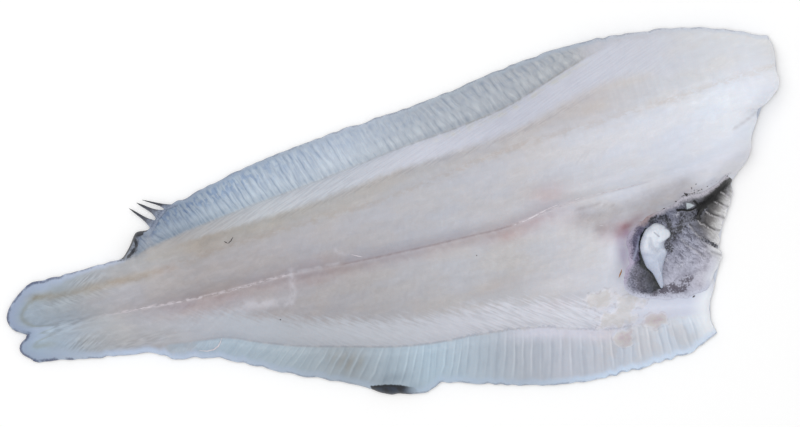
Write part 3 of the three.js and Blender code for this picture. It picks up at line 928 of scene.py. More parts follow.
BELLY_TONES = {
    -230: tone(172, 187, 203), -150: tone(169, 186, 201), -90: tone(168, 181, 191), -55: tone(155, 165, 174),
    0: tone(177, 196, 211), 60: tone(177, 184, 195), 90: tone(190, 195, 207), 190: tone(209, 218, 231),
}
BACK_RIM_TONES = {
    -275: tone(150, 164, 190), -240: tone(170, 183, 206), -205: tone(179, 189, 210),
    -160: tone(134, 148, 168), -110: tone(146, 163, 186), -60: tone(160, 173, 190), -20: tone(176, 187, 204),
    60: tone(168, 178, 189), 150: tone(164, 175, 191), 190: tone(188, 193, 206), 275: tone(204, 211, 224),
}
BELLY_RIM_TONES = {
    -275: tone(150, 166, 190), -240: tone(172, 186, 206), -205: tone(188, 205, 232),
    -170: tone(186, 202, 227), -60: tone(162, 176, 192), 0: tone(182, 200, 220), 60: tone(176, 190, 209),
    120: tone(209, 227, 251), 195: tone(217, 232, 253), 212: tone(221, 225, 233),
}
DARK_RIM = tone(66, 77, 110)


def rim_colour(graph, x, above):
    """The bluish edge, where the skin shows through: one row of tones for each long edge."""
    return graph.mix(above, graph.ramp(x, BELLY_RIM_TONES), graph.ramp(x, BACK_RIM_TONES))


def rim_line(graph, spot, tail):
    """How strong the dark line at the edge is: broken by gaps, and strongest at the tail."""
    return graph.noise(spot, 8.0, 60, 2.0).ease(0.38, 0.56) * (0.35 + 0.55 * tail)


print("tones along the upper loin:", len(UPPER_TONES))

# %% [markdown]
# ## Milky loins
#
# Up close a loin is mottled: soft clouds drawn out along the fish, paler blots, and thin white veins. Two
# noises at different scales give the clouds and blots. A vein is where a drawn-out noise passes through its
# middle value, which makes long thin lines that never repeat. A rusty line, the septum, runs along the upper
# loin.

# %% Loins, septum and feathered fibres
def flesh_wires(graph):
    """The wires that every part of the flesh's finish reads."""
    x, y, _ = graph.place()
    spot = graph.vector(x, y)
    blot = graph.noise(spot, 7.0, 2, 4.0, 0.6)
    names = {
        "seam": "seam_off", "septum": "septum_off", "edge": "edge_off", "back": "past_back",
        "belly": "past_belly",
    }
    fields = {short: graph.field(name) for short, name in names.items()}
    grain = graph.noise(spot, 1.5, 3, 2.0)
    return SimpleNamespace(x=x, y=y, spot=spot, blot=blot, grain=grain, wavy=(blot - 0.5) * 5.0, **fields)


def streaks(graph, w, degrees, length, width, seed):
    """Fine fibres that run at an angle to the fillet."""
    turn = math.radians(degrees)
    along = w.x * math.cos(turn) + w.y * math.sin(turn)
    beside = w.y * math.cos(turn) - w.x * math.sin(turn)
    return graph.noise(graph.vector(along / length, beside / width), 1.0, seed, 1.5)


def loin_colour(graph, w):
    upper, cool = graph.ramp(w.x, UPPER_TONES), graph.ramp(w.x, COOL_TONES)
    colour = graph.mix((w.septum + w.wavy * 1.6).ease(11.0, -12.0), upper, cool)
    colour = graph.mix((w.seam + w.wavy * 0.4).ease(2.0, -4.0), colour, graph.ramp(w.x, LOWER_TONES))
    flow = graph.vector(w.x * 0.4 + w.wavy, w.y + w.wavy * 0.5)
    cloud = graph.noise(flow, 14.0, 1, 3.0)
    patch = graph.noise(flow, 4.0, 4, 3.0, 0.55)
    rough = 1.0 + 1.2 * w.x.ease(-60, -150)
    colour = graph.tint(cloud.ease(0.44, 0.66), colour, WARM)
    colour = graph.tint(cloud.ease(0.56, 0.34), colour, COOL)
    colour = graph.tint(patch.ease(0.5, 0.75) * rough, colour, PALE)
    colour = graph.tint(patch.ease(0.5, 0.25) * rough, colour, SHADE)
    for degrees, seed, side in ((17, 8, w.seam.ease(2.0, 10.0)), (-28, 9, w.seam.ease(-4.0, -12.0))):
        vein = abs(streaks(graph, w, degrees, 20.0, 5.0, seed) - 0.5).ease(0.024, 0.0)
        colour = graph.tint(vein * side * cloud.ease(0.46, 0.6), colour, PALE)
    return colour


def septum_colour(graph, w, colour):
    ragged = graph.noise(graph.vector(w.x * 0.5, w.y), 4.0, 7, 3.0, 0.65)
    line = (w.septum + (ragged - 0.5) * 8.0).bell(2.2) * ragged.ease(0.36, 0.56)
    colour = graph.tint(line, colour, (0.94, 0.9, 0.86))
    yellow = (w.septum + w.wavy * 0.7).bell(3.4) * w.x.ease(-150, -195)
    colour = graph.tint(yellow, colour, (0.91, 0.83, 0.72))
    tail_line = (w.edge + w.wavy * 0.4 - 11.0).bell(2.0) * w.x.ease(-248, -260)
    return graph.tint(tail_line, colour, (0.86, 0.82, 0.74))


def barb_colour(graph, w, colour):
    kinds = (("barbs_up", 32, 1.5, 10), ("barbs_down", -33, 1.5, 11), ("barbs_flat", 2, 1.9, 12))
    for field, degrees, width, seed in kinds:
        barb = streaks(graph, w, degrees, 11.0, width, seed)
        mask = graph.field(field)
        colour = graph.tint(mask * barb.ease(0.5, 0.62), colour, (1.18, 1.17, 1.14))
        colour = graph.tint(mask * barb.ease(0.5, 0.38), colour, (0.82, 0.8, 0.79))
    return colour


print("loin rules ready")

# %% [markdown]
# ## White strips, seam and marks
#
# Beside each crease lies a strip of white fibres, with a clear lower boundary on the back and a feathered one
# on the belly. The seam has a pink haze, and a thin dark line where the two loins part.

# %% Strips, seam and soft marks
PINK = (0.96, 0.84, 0.83)
FAT = (1.02, 0.985, 0.92)
BACK_STRIP = through([(-190, 5), (-130, 9), (-90, 12.5), (0, 15), (80, 18), (150, 24), (200, 30)])


def strip_colour(graph, w, colour):
    """The colour with both strips in it, and the relief of their fibres."""
    fibre = streaks(graph, w, 21.5, 15.0, 1.0, 5)
    width = graph.field("strip_width")
    inner = w.back.ease(1.0, -1.0).most(1.0 - graph.field("back_open"))
    strip = ((w.back + w.wavy * 0.8) / width).ease(-1.12, -0.72) * inner
    strip = strip * w.x.ease(-185, -120) * w.x.ease(245, 165)
    under = ((w.back + w.wavy) / width + 1.1).bell(0.14) * w.x.ease(-110, -60) * w.x.ease(170, 120)
    white = graph.ramp(w.x, BACK_STRIP_TONES)
    fine = 0.6 + 0.8 * w.x.ease(20, -60)
    white = graph.tint(fibre.ease(0.5, 0.66) * fine, white, (1.07, 1.07, 1.06))
    white = graph.tint(fibre.ease(0.5, 0.34) * fine, white, (0.92, 0.92, 0.93))
    colour = graph.tint(under * fibre.ease(0.56, 0.4), colour, (0.88, 0.88, 0.9))
    colour = graph.mix(strip * 0.9, colour, white)

    barb = streaks(graph, w, -36.0, 12.0, 1.5, 6)
    feather = (w.belly + w.wavy * 1.4 + (barb - 0.5) * 12.0).ease(-25, -13) * w.belly.ease(1.0, -1.5)
    feather = feather * w.x.ease(-225, -100)
    pale = graph.ramp(w.x, BELLY_STRIP_TONES)
    force = (0.35 * w.x.ease(-130, -60) + 0.5 * w.x.ease(10, 60)) * w.x.ease(155, 125)
    pale = graph.tint(barb.ease(0.5, 0.66) * force, pale, (1.09, 1.09, 1.09))
    pale = graph.tint(barb.ease(0.5, 0.34) * force, pale, (0.88, 0.88, 0.88))
    colour = graph.mix(feather * 0.9, colour, pale)
    return colour, strip * fibre + feather * barb * force


def seam_colour(graph, w, colour):
    colour = graph.tint(graph.field("pink") * (w.blot * 0.8 + 0.5), colour, PINK)
    haze = (w.seam + 2.0 + w.wavy * 0.6).bell(6.5) * w.x.ease(135, 90) * w.x.ease(-225, -150)
    colour = graph.tint(haze * (w.blot * 0.8 + 0.4), colour, (0.9, 0.82, 0.82))
    line = (w.seam + w.wavy * 0.12).bell(0.8) * w.x.ease(-66, -40) * w.x.ease(86, 68)
    colour = graph.mix(line * (w.blot.ease(0.36, 0.62) * 0.2 + 0.3), colour, tone(132, 112, 114))
    broken = graph.noise(graph.vector(w.x * 0.35, w.seam), 1.6, 59, 2.0)
    along = w.x.ease(-225, -195) * w.x.ease(-74, -86) + w.x.ease(74, 82) * w.x.ease(160, 112)
    thread = (w.seam - 0.3 + w.wavy * 0.2).bell(1.0) * along
    colour = graph.mix(thread * broken.ease(0.38, 0.6) * 0.75, colour, tone(206, 199, 205))
    smear = graph.field("pale_line") * graph.noise(w.spot, 7.0, 61, 3.0).ease(0.3, 0.6)
    return graph.mix(smear * 0.6, colour, tone(195, 193, 201))


def mark_colour(graph, w, colour):
    # Painted shade from the dim paths, where the flesh dips above the hollow and near the head end.
    colour = graph.tint(graph.field("dim") * (w.blot * 0.6 + 0.7), colour, (0.69, 0.66, 0.65))
    colour = graph.tint(graph.field("fat") * (w.blot * 1.4), colour, FAT)
    colour = graph.mix(graph.field("white") * (w.blot * 0.8 + 0.4), colour, tone(223, 225, 237))
    colour = graph.mix(graph.field("lilac") * (w.blot + 0.3), colour, tone(193, 184, 207))
    colour = graph.mix(graph.field("mauve") * (w.blot + 0.4), colour, tone(172, 142, 172))
    return graph.mix(graph.field("rose") * (w.blot * 0.7 + 0.55), colour, tone(158, 127, 136))


def lump_colour(graph, w, colour):
    """Lumps of fat: dull pink middles, pale rims partly painted highlight, painted shade just outside."""
    fold = graph.noise(graph.vector(w.x * 0.7, w.y), 3.6, 62, 2.0)
    pink = graph.field("pink")
    reach = graph.field("lump_reach") + (graph.noise(w.spot, 8.0, 63, 1.0) - 0.5) * 1.6
    fill = graph.tint(fold.ease(0.58, 0.38), tone(213, 211, 213), (0.93, 0.92, 0.9))
    colour = graph.mix(reach.ease(1.25, 0.75) * 0.75, colour, fill)
    stain = graph.mix(fold.ease(0.44, 0.58), (0.82, 0.72, 0.77, 1.0), (0.8, 0.76, 0.73, 1.0))
    colour = graph.mix(pink * reach.ease(1.3, 0.85), colour, stain, "MULTIPLY")
    # Painted shade in a thin ring just outside each lump's edge.
    painted_edge_shade = (reach - 1.24).bell(0.1) * fold.ease(0.55, 0.42)
    colour = graph.tint(painted_edge_shade * (1.0 - pink), colour, (0.88, 0.85, 0.84))
    # Pale rim: partly the lump's own white outline, partly a painted highlight.
    rim = (reach - 1.0).bell(0.15) * fold.ease(0.42, 0.55) * (1.0 - pink)
    return graph.mix(rim * 0.5, colour, tone(226, 226, 236))


flesh_fields["strip_width"] = BACK_STRIP(flesh_x)
print("strip, seam and mark rules ready")

# %% [markdown]
# ## Fin bands
#
# The bands take their tones from the same counters as the relief. On the back they are streaked with white
# and grey-blue, on the belly each muscle is a plain panel with a thin white line and a darker one beside it.
# A drawn-out noise on the counter makes some lines strong and lets others fade, as on the real fish.

# %% Colours of the two bands and of the edge
def back_band_colour(graph, w, colour):
    bundles = back_bundles(graph, w.x)
    rib, share = uneven_ribs(graph, "back", 51)
    streak = graph.noise(graph.vector(rib * 2.2, share * 1.6), 1.0, 53, 3.0, 0.62)
    band = graph.ramp(w.x, BACK_TONES)
    # Darker grooves and paler bundle tops: partly the muscles' own colour, partly painted shade in the grooves
    # and painted light on the tops.
    band = graph.tint((1.0 - bundles).ease(0.45, 1.0) * streak.ease(0.7, 0.36), band, (0.77, 0.8, 0.84))
    band = graph.tint(bundles * streak.ease(0.42, 0.66), band, (1.22, 1.21, 1.17))
    band = graph.tint(streak.ease(0.48, 0.3) * w.x.ease(0, -80), band, (0.8, 0.84, 0.9))
    band = graph.tint(share.ease(0.45, 0.0) * w.x.ease(40, 0), band, (1.12, 1.1, 1.06))
    deep = graph.noise(graph.vector(rib * 1.5, share * 5.0), 1.0, 55, 2.0).ease(0.45, 0.6)
    deep = deep * share.ease(0.25, 0.7) * (0.3 + 0.7 * w.x.ease(-40, -130))
    band = graph.tint(deep, band, (0.68, 0.76, 0.9))
    mask = (w.back + w.wavy * 0.2).ease(-1.6, 1.6) * graph.field("back_open")
    colour = graph.mix(mask, colour, band)
    narrow = (w.back + w.wavy).ease(-3.0, 3.0) * (1.0 - graph.field("back_open")) * w.x.ease(120, 150)
    colour = graph.mix(narrow * w.x.ease(230, 190) * 0.7, colour, tone(186, 187, 196))
    crease = (w.back + w.wavy * 0.25).bell(0.8) * graph.field("back_open") * w.blot.ease(0.34, 0.6)
    colour = graph.tint(crease * (0.25 + 0.75 * w.x.ease(0, 60)), colour, (0.82, 0.81, 0.76))
    cream = (w.back + 3.0 + w.wavy * 0.5).bell(1.8) * w.x.ease(20, 60) * w.x.ease(165, 140)
    return graph.tint(cream * w.blot.ease(0.35, 0.6), colour, (1.02, 1.0, 0.88))


def belly_band_colour(graph, w, colour):
    rib, share = uneven_ribs(graph, "belly", 52, 0.45)
    force = graph.noise(graph.vector(rib * 0.8, share * 0.7), 1.0, 54, 2.0, 0.6).ease(0.3, 0.66)
    span = window(share, -0.12, 0.96)
    panel_side = graph.maths("FRACT", rib)
    span = span * (0.4 + 0.6 * w.x.ease(-120, -60))
    white_line = (1.0 - rib.arch()).ease(0.4, 0.95) * force * span
    dark_side = panel_side.ease(0.6, 0.1) * panel_side.ease(0.03, 0.2) * span
    band = graph.ramp(w.x, BELLY_TONES)
    panel = graph.noise(graph.vector(rib * 0.9, share * 0.9), 1.0, 56, 2.0, 0.6)
    band = graph.tint(panel.ease(0.52, 0.34), band, (0.92, 0.93, 0.94))
    band = graph.tint(dark_side * (panel + 0.3), band, (0.8, 0.81, 0.83))
    band = graph.tint(white_line, band, (1.18, 1.165, 1.14))
    band = graph.tint(graph.field("rust") * panel_side.arch(), band, (0.88, 0.79, 0.7))
    root = (w.belly + w.wavy * 0.7).ease(13.0, 3.0) * w.x.ease(40, 80) * w.x.ease(150, 120)
    band = graph.mix(root * 0.75, band, tone(207, 207, 221))
    warm = graph.noise(w.spot, 14.0, 57, 2.0).ease(0.38, 0.56) * w.x.ease(95, 130) * w.x.ease(195, 175)
    band = graph.tint(warm * share.ease(0.9, 0.6), band, (1.01, 0.96, 0.92))
    torn = w.wavy * (0.2 + 0.8 * w.x.ease(0, 40)) + (w.grain - 0.5) * 3.0 * w.x.ease(0, 40)
    mask = (w.belly + torn).ease(-1.0, 1.6) * graph.field("belly_open")
    colour = graph.mix(mask, colour, band)
    crease = (w.belly + torn).bell(0.8) * graph.field("belly_open") * w.blot.ease(0.4, 0.56)
    colour = graph.tint(crease * w.x.ease(-150, -90) * w.x.ease(160, 130), colour, (0.84, 0.85, 0.88))
    thin = graph.field("cut_off").ease(17.0, 2.0) * w.y.ease(-64, -78)
    return graph.mix(thin * 0.85, colour, tone(243, 247, 253))


def fringe_colour(graph, w, colour):
    """The edge: first bluish, then a broken dark line where the pigment of the skin starts."""
    reach = 4.0 + 7.0 * w.x.ease(-222, -258) + 2.0 * w.seam.ease(5.0, -5.0)
    fringe = ((w.edge + w.wavy * 0.35) / reach).ease(1.0, 0.2)
    colour = graph.mix(fringe * 0.95, colour, rim_colour(graph, w.x, w.seam.ease(-6.0, 6.0)))
    tail = w.x.ease(-225, -255)
    off = (w.edge + (w.grain - 0.5) * 1.2) / (1.0 + 0.9 * tail)
    line = off.ease(1.3, 0.3) * rim_line(graph, w.spot, tail)
    whole = w.x.ease(275, 262) * (1.0 - w.x.ease(-176, -172) * w.x.ease(-146, -150))
    clear = w.seam.ease(4.0, -4.0) * w.x.ease(-230, -216) * w.x.ease(-130, -150)
    return graph.mix(line * whole * (1.0 - 0.8 * clear), colour, DARK_RIM)


def pigment_colour(graph, w, colour):
    """The two places where black skin shows, the ink of the lining, a few drawn lines and painted shadow by
    the flap.
    """
    colour = graph.tint(graph.field("dark_line") * (w.grain + 0.2), colour, (0.4, 0.41, 0.46))
    # Grey skin of the fin stub, and painted shadow just above the dark flap of skin at the belly edge.
    colour = graph.tint(graph.field("dusk") * (w.blot + 0.4), colour, (0.55, 0.57, 0.6))
    stub = (graph.field("stub") + (w.grain - 0.5) * 1.5).ease(-0.8, 0.8)
    dark = graph.mix(w.grain.ease(0.4, 0.62), tone(122, 128, 142), tone(72, 77, 90))
    colour = graph.mix(stub * 0.85, colour, dark)
    depth = graph.field("flap") + (w.grain - 0.5) * 1.2
    flap = depth.ease(-0.6, 0.3) * (w.x + w.wavy).ease(-12, -24)
    dark = graph.mix(depth.ease(0.8, 2.2) * w.blot.ease(0.36, 0.56), tone(8, 12, 20), tone(34, 44, 60))
    colour = graph.mix(flap * 0.97, colour, dark)
    bare = graph.field("pigment")
    colour = graph.mix((bare * 1.5 - w.grain * 0.7 - w.blot * 0.4).ease(0.0, 0.5), colour, tone(36, 40, 49))
    smear = (graph.field("ink") * 1.4 - w.blot * 0.6).ease(0.0, 0.6)
    colour = graph.tint(smear * 0.5, colour, (0.74, 0.73, 0.78))
    fleck = graph.noise(w.spot, 1.8, 58, 3.0, 0.65)
    return graph.mix((graph.field("ink") * 0.9 - fleck).ease(0.2, 0.36), colour, tone(60, 58, 66))


print("band rules ready")

# %% [markdown]
# ## The flesh, put together
#
# The finish is now a short list of steps, each laid over the last. The fine relief is a bump, because it is
# thinner than the mesh can show, and a little light passes under the surface, which is what makes flesh look
# soft.

# %% Finish of the raw flesh
def flesh_finish():
    material, graph = new_finish("raw_flesh")
    w = flesh_wires(graph)
    colour = loin_colour(graph, w)
    colour = mark_colour(graph, w, colour)
    colour = septum_colour(graph, w, colour)
    colour, fibres = strip_colour(graph, w, colour)
    colour = seam_colour(graph, w, colour)
    colour = back_band_colour(graph, w, colour)
    colour = belly_band_colour(graph, w, colour)
    colour = lump_colour(graph, w, colour)
    colour = barb_colour(graph, w, colour)
    colour = fringe_colour(graph, w, colour)
    colour = pigment_colour(graph, w, colour)
    height = w.grain * 0.15 + w.blot * 0.3 + fibres * 0.5
    wet_surface(graph, colour, w.blot * 0.25 + 0.3, height, 0.3, soft=0.12)
    return material


raw_flesh = flesh_finish()
print("flesh finish nodes:", len(raw_flesh.node_tree.nodes))

# %% Make the flesh
RELIEF_SIZES = {
    "Back ribs": 0.6 * MM, "Belly ribs": 0.5 * MM, "Flakes": 0.07 * MM, "Swell": 1.5 * MM, "Lumps": 1.0 * MM,
}


def flesh_piece():
    count = flesh_x.size
    rows, columns = flesh_x.shape
    top = np.stack([flesh_x, flesh_y, flesh_z], -1).reshape(-1, 3)
    rim = grid_rim(rows, columns)
    low = top[rim]
    low[:, 2] = RIM_FLOOR
    under = count + np.arange(len(rim))
    faces = grid_faces(rows, columns) + wall_faces(rim, under) + [under[::-1].tolist()]
    obj = new_object("fillet_flesh", np.concatenate([top, low]), faces)
    every = np.concatenate([np.arange(count), rim])
    keep_fields(obj, {name: np.ravel(values)[every] for name, values in flesh_fields.items()})
    grow(obj, flesh_tree, RELIEF_SIZES | {"Finish": raw_flesh})
    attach(obj, "root")
    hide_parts("flesh")
    return obj


flesh = flesh_piece()
print("flesh triangles:", triangles(flesh))

# %% [markdown]
# ## The skin
#
# The fillet lies on its skin, so the skin shows only as a rim: bluish and translucent, with a dark line at
# the tail where the pigment starts, and two dark tabs where a fin was cut away. Its underside is the dark,
# mottled eye side of the fish, with scales too small to model. Two grids with a wall between them make the
# sheet.

# %% Finish of the skin
def skin_finish():
    material, graph = new_finish("fish_skin")
    x, y, _ = graph.place()
    spot = graph.vector(x, y)
    under = graph.field("underside")
    blot = graph.noise(spot, 4.0, 11, 4.0, 0.6)
    patch = graph.noise(spot, 22.0, 12, 4.0, 0.6)
    scales = graph.node(
        "ShaderNodeTexVoronoi", {"feature": "SMOOTH_F1"}, {"Vector": spot, "Scale": 0.42, "Smoothness": 0.4}
    )
    edge = rim_colour(graph, x, graph.field("above"))
    line = rim_line(graph, spot, x.ease(-200, -245)) * x.ease(215, 195)
    edge = graph.mix(line, edge, DARK_RIM)
    edge = graph.mix((graph.field("bare") * 1.6 - blot).ease(0.0, 0.35), edge, tone(36, 41, 51))
    dark = graph.mix(patch.ease(0.38, 0.66), tone(66, 62, 55), tone(104, 98, 84))
    dark = graph.mix(graph.noise(spot, 9.0, 13, 2.0).ease(0.62, 0.7) * 0.6, dark, tone(142, 137, 122))
    dark = graph.mix(scales.ease(0.25, 0.9) * 0.35, dark, tone(44, 42, 39))
    colour = graph.mix(under, edge, dark)
    height = scales * under + blot * 0.3
    wet_surface(graph, colour, blot * 0.2 + 0.25, height, 0.5, coat=0.3)
    return material


fish_skin = skin_finish()
print("skin finish nodes:", len(fish_skin.node_tree.nodes))

# %% Make the skin
SKIN_COLUMNS = 560
SKIN_ROWS = 50
COLUMN_CROWDING = 0.3
ROW_CROWDING = 1.0
SKIN_THICKNESS = 1.5
SKIN_MIDDLE = 0.7
RIM_ROUND = 1.3
RIM_LIFT = 0.4


def skin_piece():
    rows = 4 * crowded(SKIN_ROWS, ROW_CROWDING)
    x, y = plan_grid(rows, crowded(SKIN_COLUMNS, COLUMN_CROWDING), False)
    above = ease(y - SEAM(x), -6, 6)
    flap = ease(depth_inside(DARK_FLAP, x, y), -0.7, 0.5) * ease(x, -14, -24)
    bare = np.maximum(drawn(PATHS["pigment"], x, y), flap)
    swell = round_end(edge_distances(x, y, False).min(0), RIM_ROUND, 0)
    top = np.stack([x, y, SKIN_MIDDLE + (SKIN_THICKNESS - SKIN_MIDDLE) * swell], -1).reshape(-1, 3)
    bottom = np.stack([x, y, RIM_LIFT * (1 - swell)], -1).reshape(-1, 3)
    edge = grid_rim(*x.shape)
    faces = grid_faces(*x.shape) + grid_faces(*x.shape, x.size, True) + wall_faces(edge, edge + x.size)
    obj = new_object("fillet_skin", np.concatenate([top, bottom]), faces)
    fields = {"above": above, "bare": bare}
    keep_fields(obj, {name: np.tile(values.ravel(), 2) for name, values in fields.items()})
    keep_fields(obj, {"underside": np.repeat([0, 1], x.size)})
    obj.data.materials.append(fish_skin)
    soften(obj)
    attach(obj, "root")
    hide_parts("skin")
    return obj


skin = skin_piece()
print("skin triangles:", triangles(skin))

# %% [markdown]
# ## Strands: fin rays, threads and flecks
#
# A torn fin shows stiff rays with a little web between them, the cut leaves white threads of membrane along
# the seam, and small flecks lie here and there. All are thin strands that follow a path, so one Geometry
# Nodes tree makes them: edges become curves, and a small ring is swept along them, scaled by each point's own
# girth.

# %% A tree that turns paths into tapered strands
RING_CORNERS = 7
STRAND_ENDS = 0.25


def strand_tree():
    graph, given = new_tree("tapered_strands", {"Thickness": 1.0, "Finish": None})
    paths = graph.node("GeometryNodeMeshToCurve", None, {"Mesh": given["Geometry"]})
    girth = graph.field("girth") * given["Thickness"]
    ring = graph.node("GeometryNodeCurvePrimitiveCircle", None, {"Resolution": RING_CORNERS, "Radius": 1.0})
    sweep = {"Curve": paths, "Profile Curve": ring, "Scale": girth, "Fill Caps": True}
    tubes = graph.node("GeometryNodeCurveToMesh", None, sweep)
    return end_tree(graph, tubes, given["Finish"])


strands_tree = strand_tree()


def strand_piece(name, paths, finish):
    """One mesh of strands from paths of (x, y, z, girth, tipward) in mm, tipward from 0 to 1."""
    every = np.concatenate([np.array(path) for path in paths])
    edges = []
    first = 0
    for path in paths:
        edges += [(first + i, first + i + 1) for i in range(len(path) - 1)]
        first += len(path)
    obj = new_object(name, every[:, :3], [], edges)
    keep_fields(obj, {"girth": every[:, 3] * MM, "tipward": every[:, 4]})
    grow(obj, strands_tree, {"Thickness": 1.0, "Finish": finish})
    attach(obj, "root")
    return obj


def drawn_strand(places, girth, lift, count=16):
    """A strand that lies on the flesh along a few places, thin at both ends."""
    places = np.array(places, float)
    steps = np.linspace(0, len(places) - 1, count)
    x = np.interp(steps, np.arange(len(places)), places[:, 0])
    y = np.interp(steps, np.arange(len(places)), places[:, 1])
    along = np.linspace(0, 1, count)
    thick = girth * (STRAND_ENDS + (1 - STRAND_ENDS) * np.sin(np.pi * along))
    return np.stack([x, y, flesh_top(x, y) + lift, thick, along], -1)


print("strand tree nodes:", len(strands_tree.nodes))

# %% [markdown]
# ## The torn fin
#
# Three scraps of the cut fin stand out from the back edge near the tail. Each is a web that narrows to a
# point, with dark rays in it. The webs are thin plates built row by row from root to tip, and the rays are
# strands.

# %% Webs and rays of the torn fin
FIN_SCRAPS = [
    ((-171.8, 78.2), (-157.5, 67.6), (-148, 69)),
    ((-176, 77.1), (-164.6, 61), (-156.5, 67.4)),
    ((-181.9, 74.5), (-169.5, 54.5), (-163.5, 61.2)),
]
WEB_STEPS = 18
WEB_ACROSS = 8
WEB_THICKNESS = 0.5
WEB_RISE = 2.0
WEB_ROOT = 2.2
WEB_CLEARANCE = 0.5
WEB_PULL = 0.3
WEB_WAIST = 0.55
WEB_BEND = 1.5
WEB_TAPER = 0.6
RAY_PLACES = (0.03, 0.25, 0.45, 0.65, 0.85, 0.98)
RAY_STEPS = 15
RAY_LIFT = 0.15
RAY_GIRTH = 0.24
RAY_TAPER = 0.7


def scrap_point(scrap, along, beside):
    """A place on a scrap: along it from root to tip, and beside from one root to the other."""
    tip, one, other = (np.array(corner) for corner in scrap)
    root = one + (other - one) * beside
    pull = along + WEB_PULL * along * (1 - along) * (1 - abs(2 * beside - 1))
    place = root + (tip - root) * pull
    middle = (one + other) / 2
    waist = middle + (tip - middle) * along
    return place + (waist - place) * (WEB_WAIST * math.sin(math.pi * along))


def web_height(place, along):
    """The root lies on the band, and the tip bends up a little."""
    return max(WEB_ROOT + WEB_RISE * along ** WEB_BEND, float(flesh_top(*place)) + WEB_CLEARANCE)


def fin_finish(name, root, middle, tip, size):
    """Grey-blue at the root, where it grows out of the band, darker above it and pale again at the tip."""
    material, graph = new_finish(name)
    x, y, _ = graph.place()
    blot = graph.noise(graph.vector(x, y), size, 14, 3.0)
    tipward = graph.field("tipward") + (blot - 0.5) * 0.5
    colour = graph.ramp(tipward, {0.1: root, 0.35: middle, 0.7: middle, 1.0: tip})
    wet_surface(graph, colour, blot * 0.2 + 0.3, blot, 0.3)
    return material


def fin_webs(finish):
    points, faces, tipward = [], [], []
    rows, columns = WEB_STEPS + 1, WEB_ACROSS + 1
    size = rows * columns
    for scrap in FIN_SCRAPS:
        first = len(points)
        for side in (1, -1):
            for i, j in np.ndindex(rows, columns):
                along = i / WEB_STEPS
                thin = WEB_THICKNESS / 2 * (1 - WEB_TAPER * along)
                place = scrap_point(scrap, along, j / WEB_ACROSS)
                points.append((*place, web_height(place, along) + side * thin))
                tipward.append(along)
        edge = grid_rim(rows, columns) + first
        faces += grid_faces(rows, columns, first) + grid_faces(rows, columns, first + size, True)
        faces += wall_faces(edge, edge + size)
    obj = new_object("torn_fin_web", np.array(points), faces)
    keep_fields(obj, {"tipward": np.array(tipward)})
    obj.data.materials.append(finish)
    soften(obj)
    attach(obj, "root")
    return obj


def fin_rays(finish):
    paths = []
    for scrap in FIN_SCRAPS:
        for beside in RAY_PLACES:
            path = []
            for along in np.linspace(0.0, 1.0, RAY_STEPS):
                place = scrap_point(scrap, along, beside)
                height = web_height(place, along) + RAY_LIFT
                path.append((*place, height, RAY_GIRTH * (1 - RAY_TAPER * along), along))
            paths.append(path)
    return strand_piece("torn_fin_rays", paths, finish)


web_finish = fin_finish("torn_fin", tone(140, 151, 172), tone(112, 116, 130), tone(120, 122, 124), 2.2)
ray_finish = fin_finish("fin_ray", tone(132, 142, 162), tone(56, 58, 68), tone(96, 98, 98), 3.0)
torn_web = fin_webs(web_finish)
torn_rays = fin_rays(ray_finish)
print("fin scraps:", len(FIN_SCRAPS), "triangles:", triangles(torn_web) + triangles(torn_rays))

# %% [markdown]
# ## The lining of the hollow
#
# The hollow still has part of its lining: a thin grey membrane, gathered in pleats towards the cut, black
# along the folds and mottled where it lies flat. It is made as rings that shrink from the lining's edge to
# its middle, so that its outline is smooth, with the pleats, the folds and the spongy patch as relief and as
# fields.

# %% Outline of the lining
LINING_MIDDLE = (186, -38)
LINING_RINGS = 88
LINING_SPOKES = 400
LINING_INSET = 0.5
LINING_EDGE = [
    (229, 2.2), (222, -0.5), (213, -4.5), (205, -5.5), (197, -5), (189, -7.5), (181, -10), (174, -12),
    (166, -14.5), (158, -17), (152, -24), (150, -33), (150, -41), (146, -47), (143, -55), (145.5, -62.5),
    (156, -68), (168, -71.5), (178, -73), (190, -73), (199, -71),
]
CUT_REACH = (-64, -1)
CUT_PLACES = 24
LINING_UNEVEN = 0.6
LINING_SEED = 6
WANDER_EVERY = 4
LINING_CROWDING = 0.8


def closed_curve(places, count):
    """A smooth closed curve through places, evenly counted round it."""
    places = np.array(places, float)
    steps = np.linspace(0, len(places), count, endpoint=False)
    i = steps.astype(int)
    f = (steps - i)[:, None]
    p0, p1, p2, p3 = (places[(i + k) % len(places)] for k in (-1, 0, 1, 2))
    bend = (2 * p0 - 5 * p1 + 4 * p2 - p3) * f ** 2 + (3 * p1 - p0 - 3 * p2 + p3) * f ** 3
    return p1 + 0.5 * ((p2 - p0) * f + bend)


def lining_outline():
    """The lining's edge: up the walls of the hollow, and close along the cut."""
    cut_y = np.linspace(*CUT_REACH, CUT_PLACES)
    cut = np.stack([head_end(cut_y, True) - LINING_INSET, cut_y], 1)
    edge = closed_curve(np.concatenate([LINING_EDGE, cut]), LINING_SPOKES)
    draws = (LINING_SPOKES // WANDER_EVERY, 1)
    wander = np.random.default_rng(LINING_SEED).normal(0, LINING_UNEVEN, draws)
    wander = closed_curve(np.repeat(wander, 2, 1), LINING_SPOKES)[:, :1]
    outward = edge - LINING_MIDDLE
    loose = ease(head_end(edge[:, 1], True) - edge[:, 0], 2, 8)[:, None]
    return edge + outward / np.linalg.norm(outward, axis=1)[:, None] * wander * loose


lining_rim = lining_outline()
ring_sizes = np.linspace(0, 1, LINING_RINGS + 1)[1:][::-1, None] ** LINING_CROWDING
lining_x, lining_y = shrunk(lining_rim, LINING_MIDDLE, ring_sizes)
print("lining points:", lining_x.size)

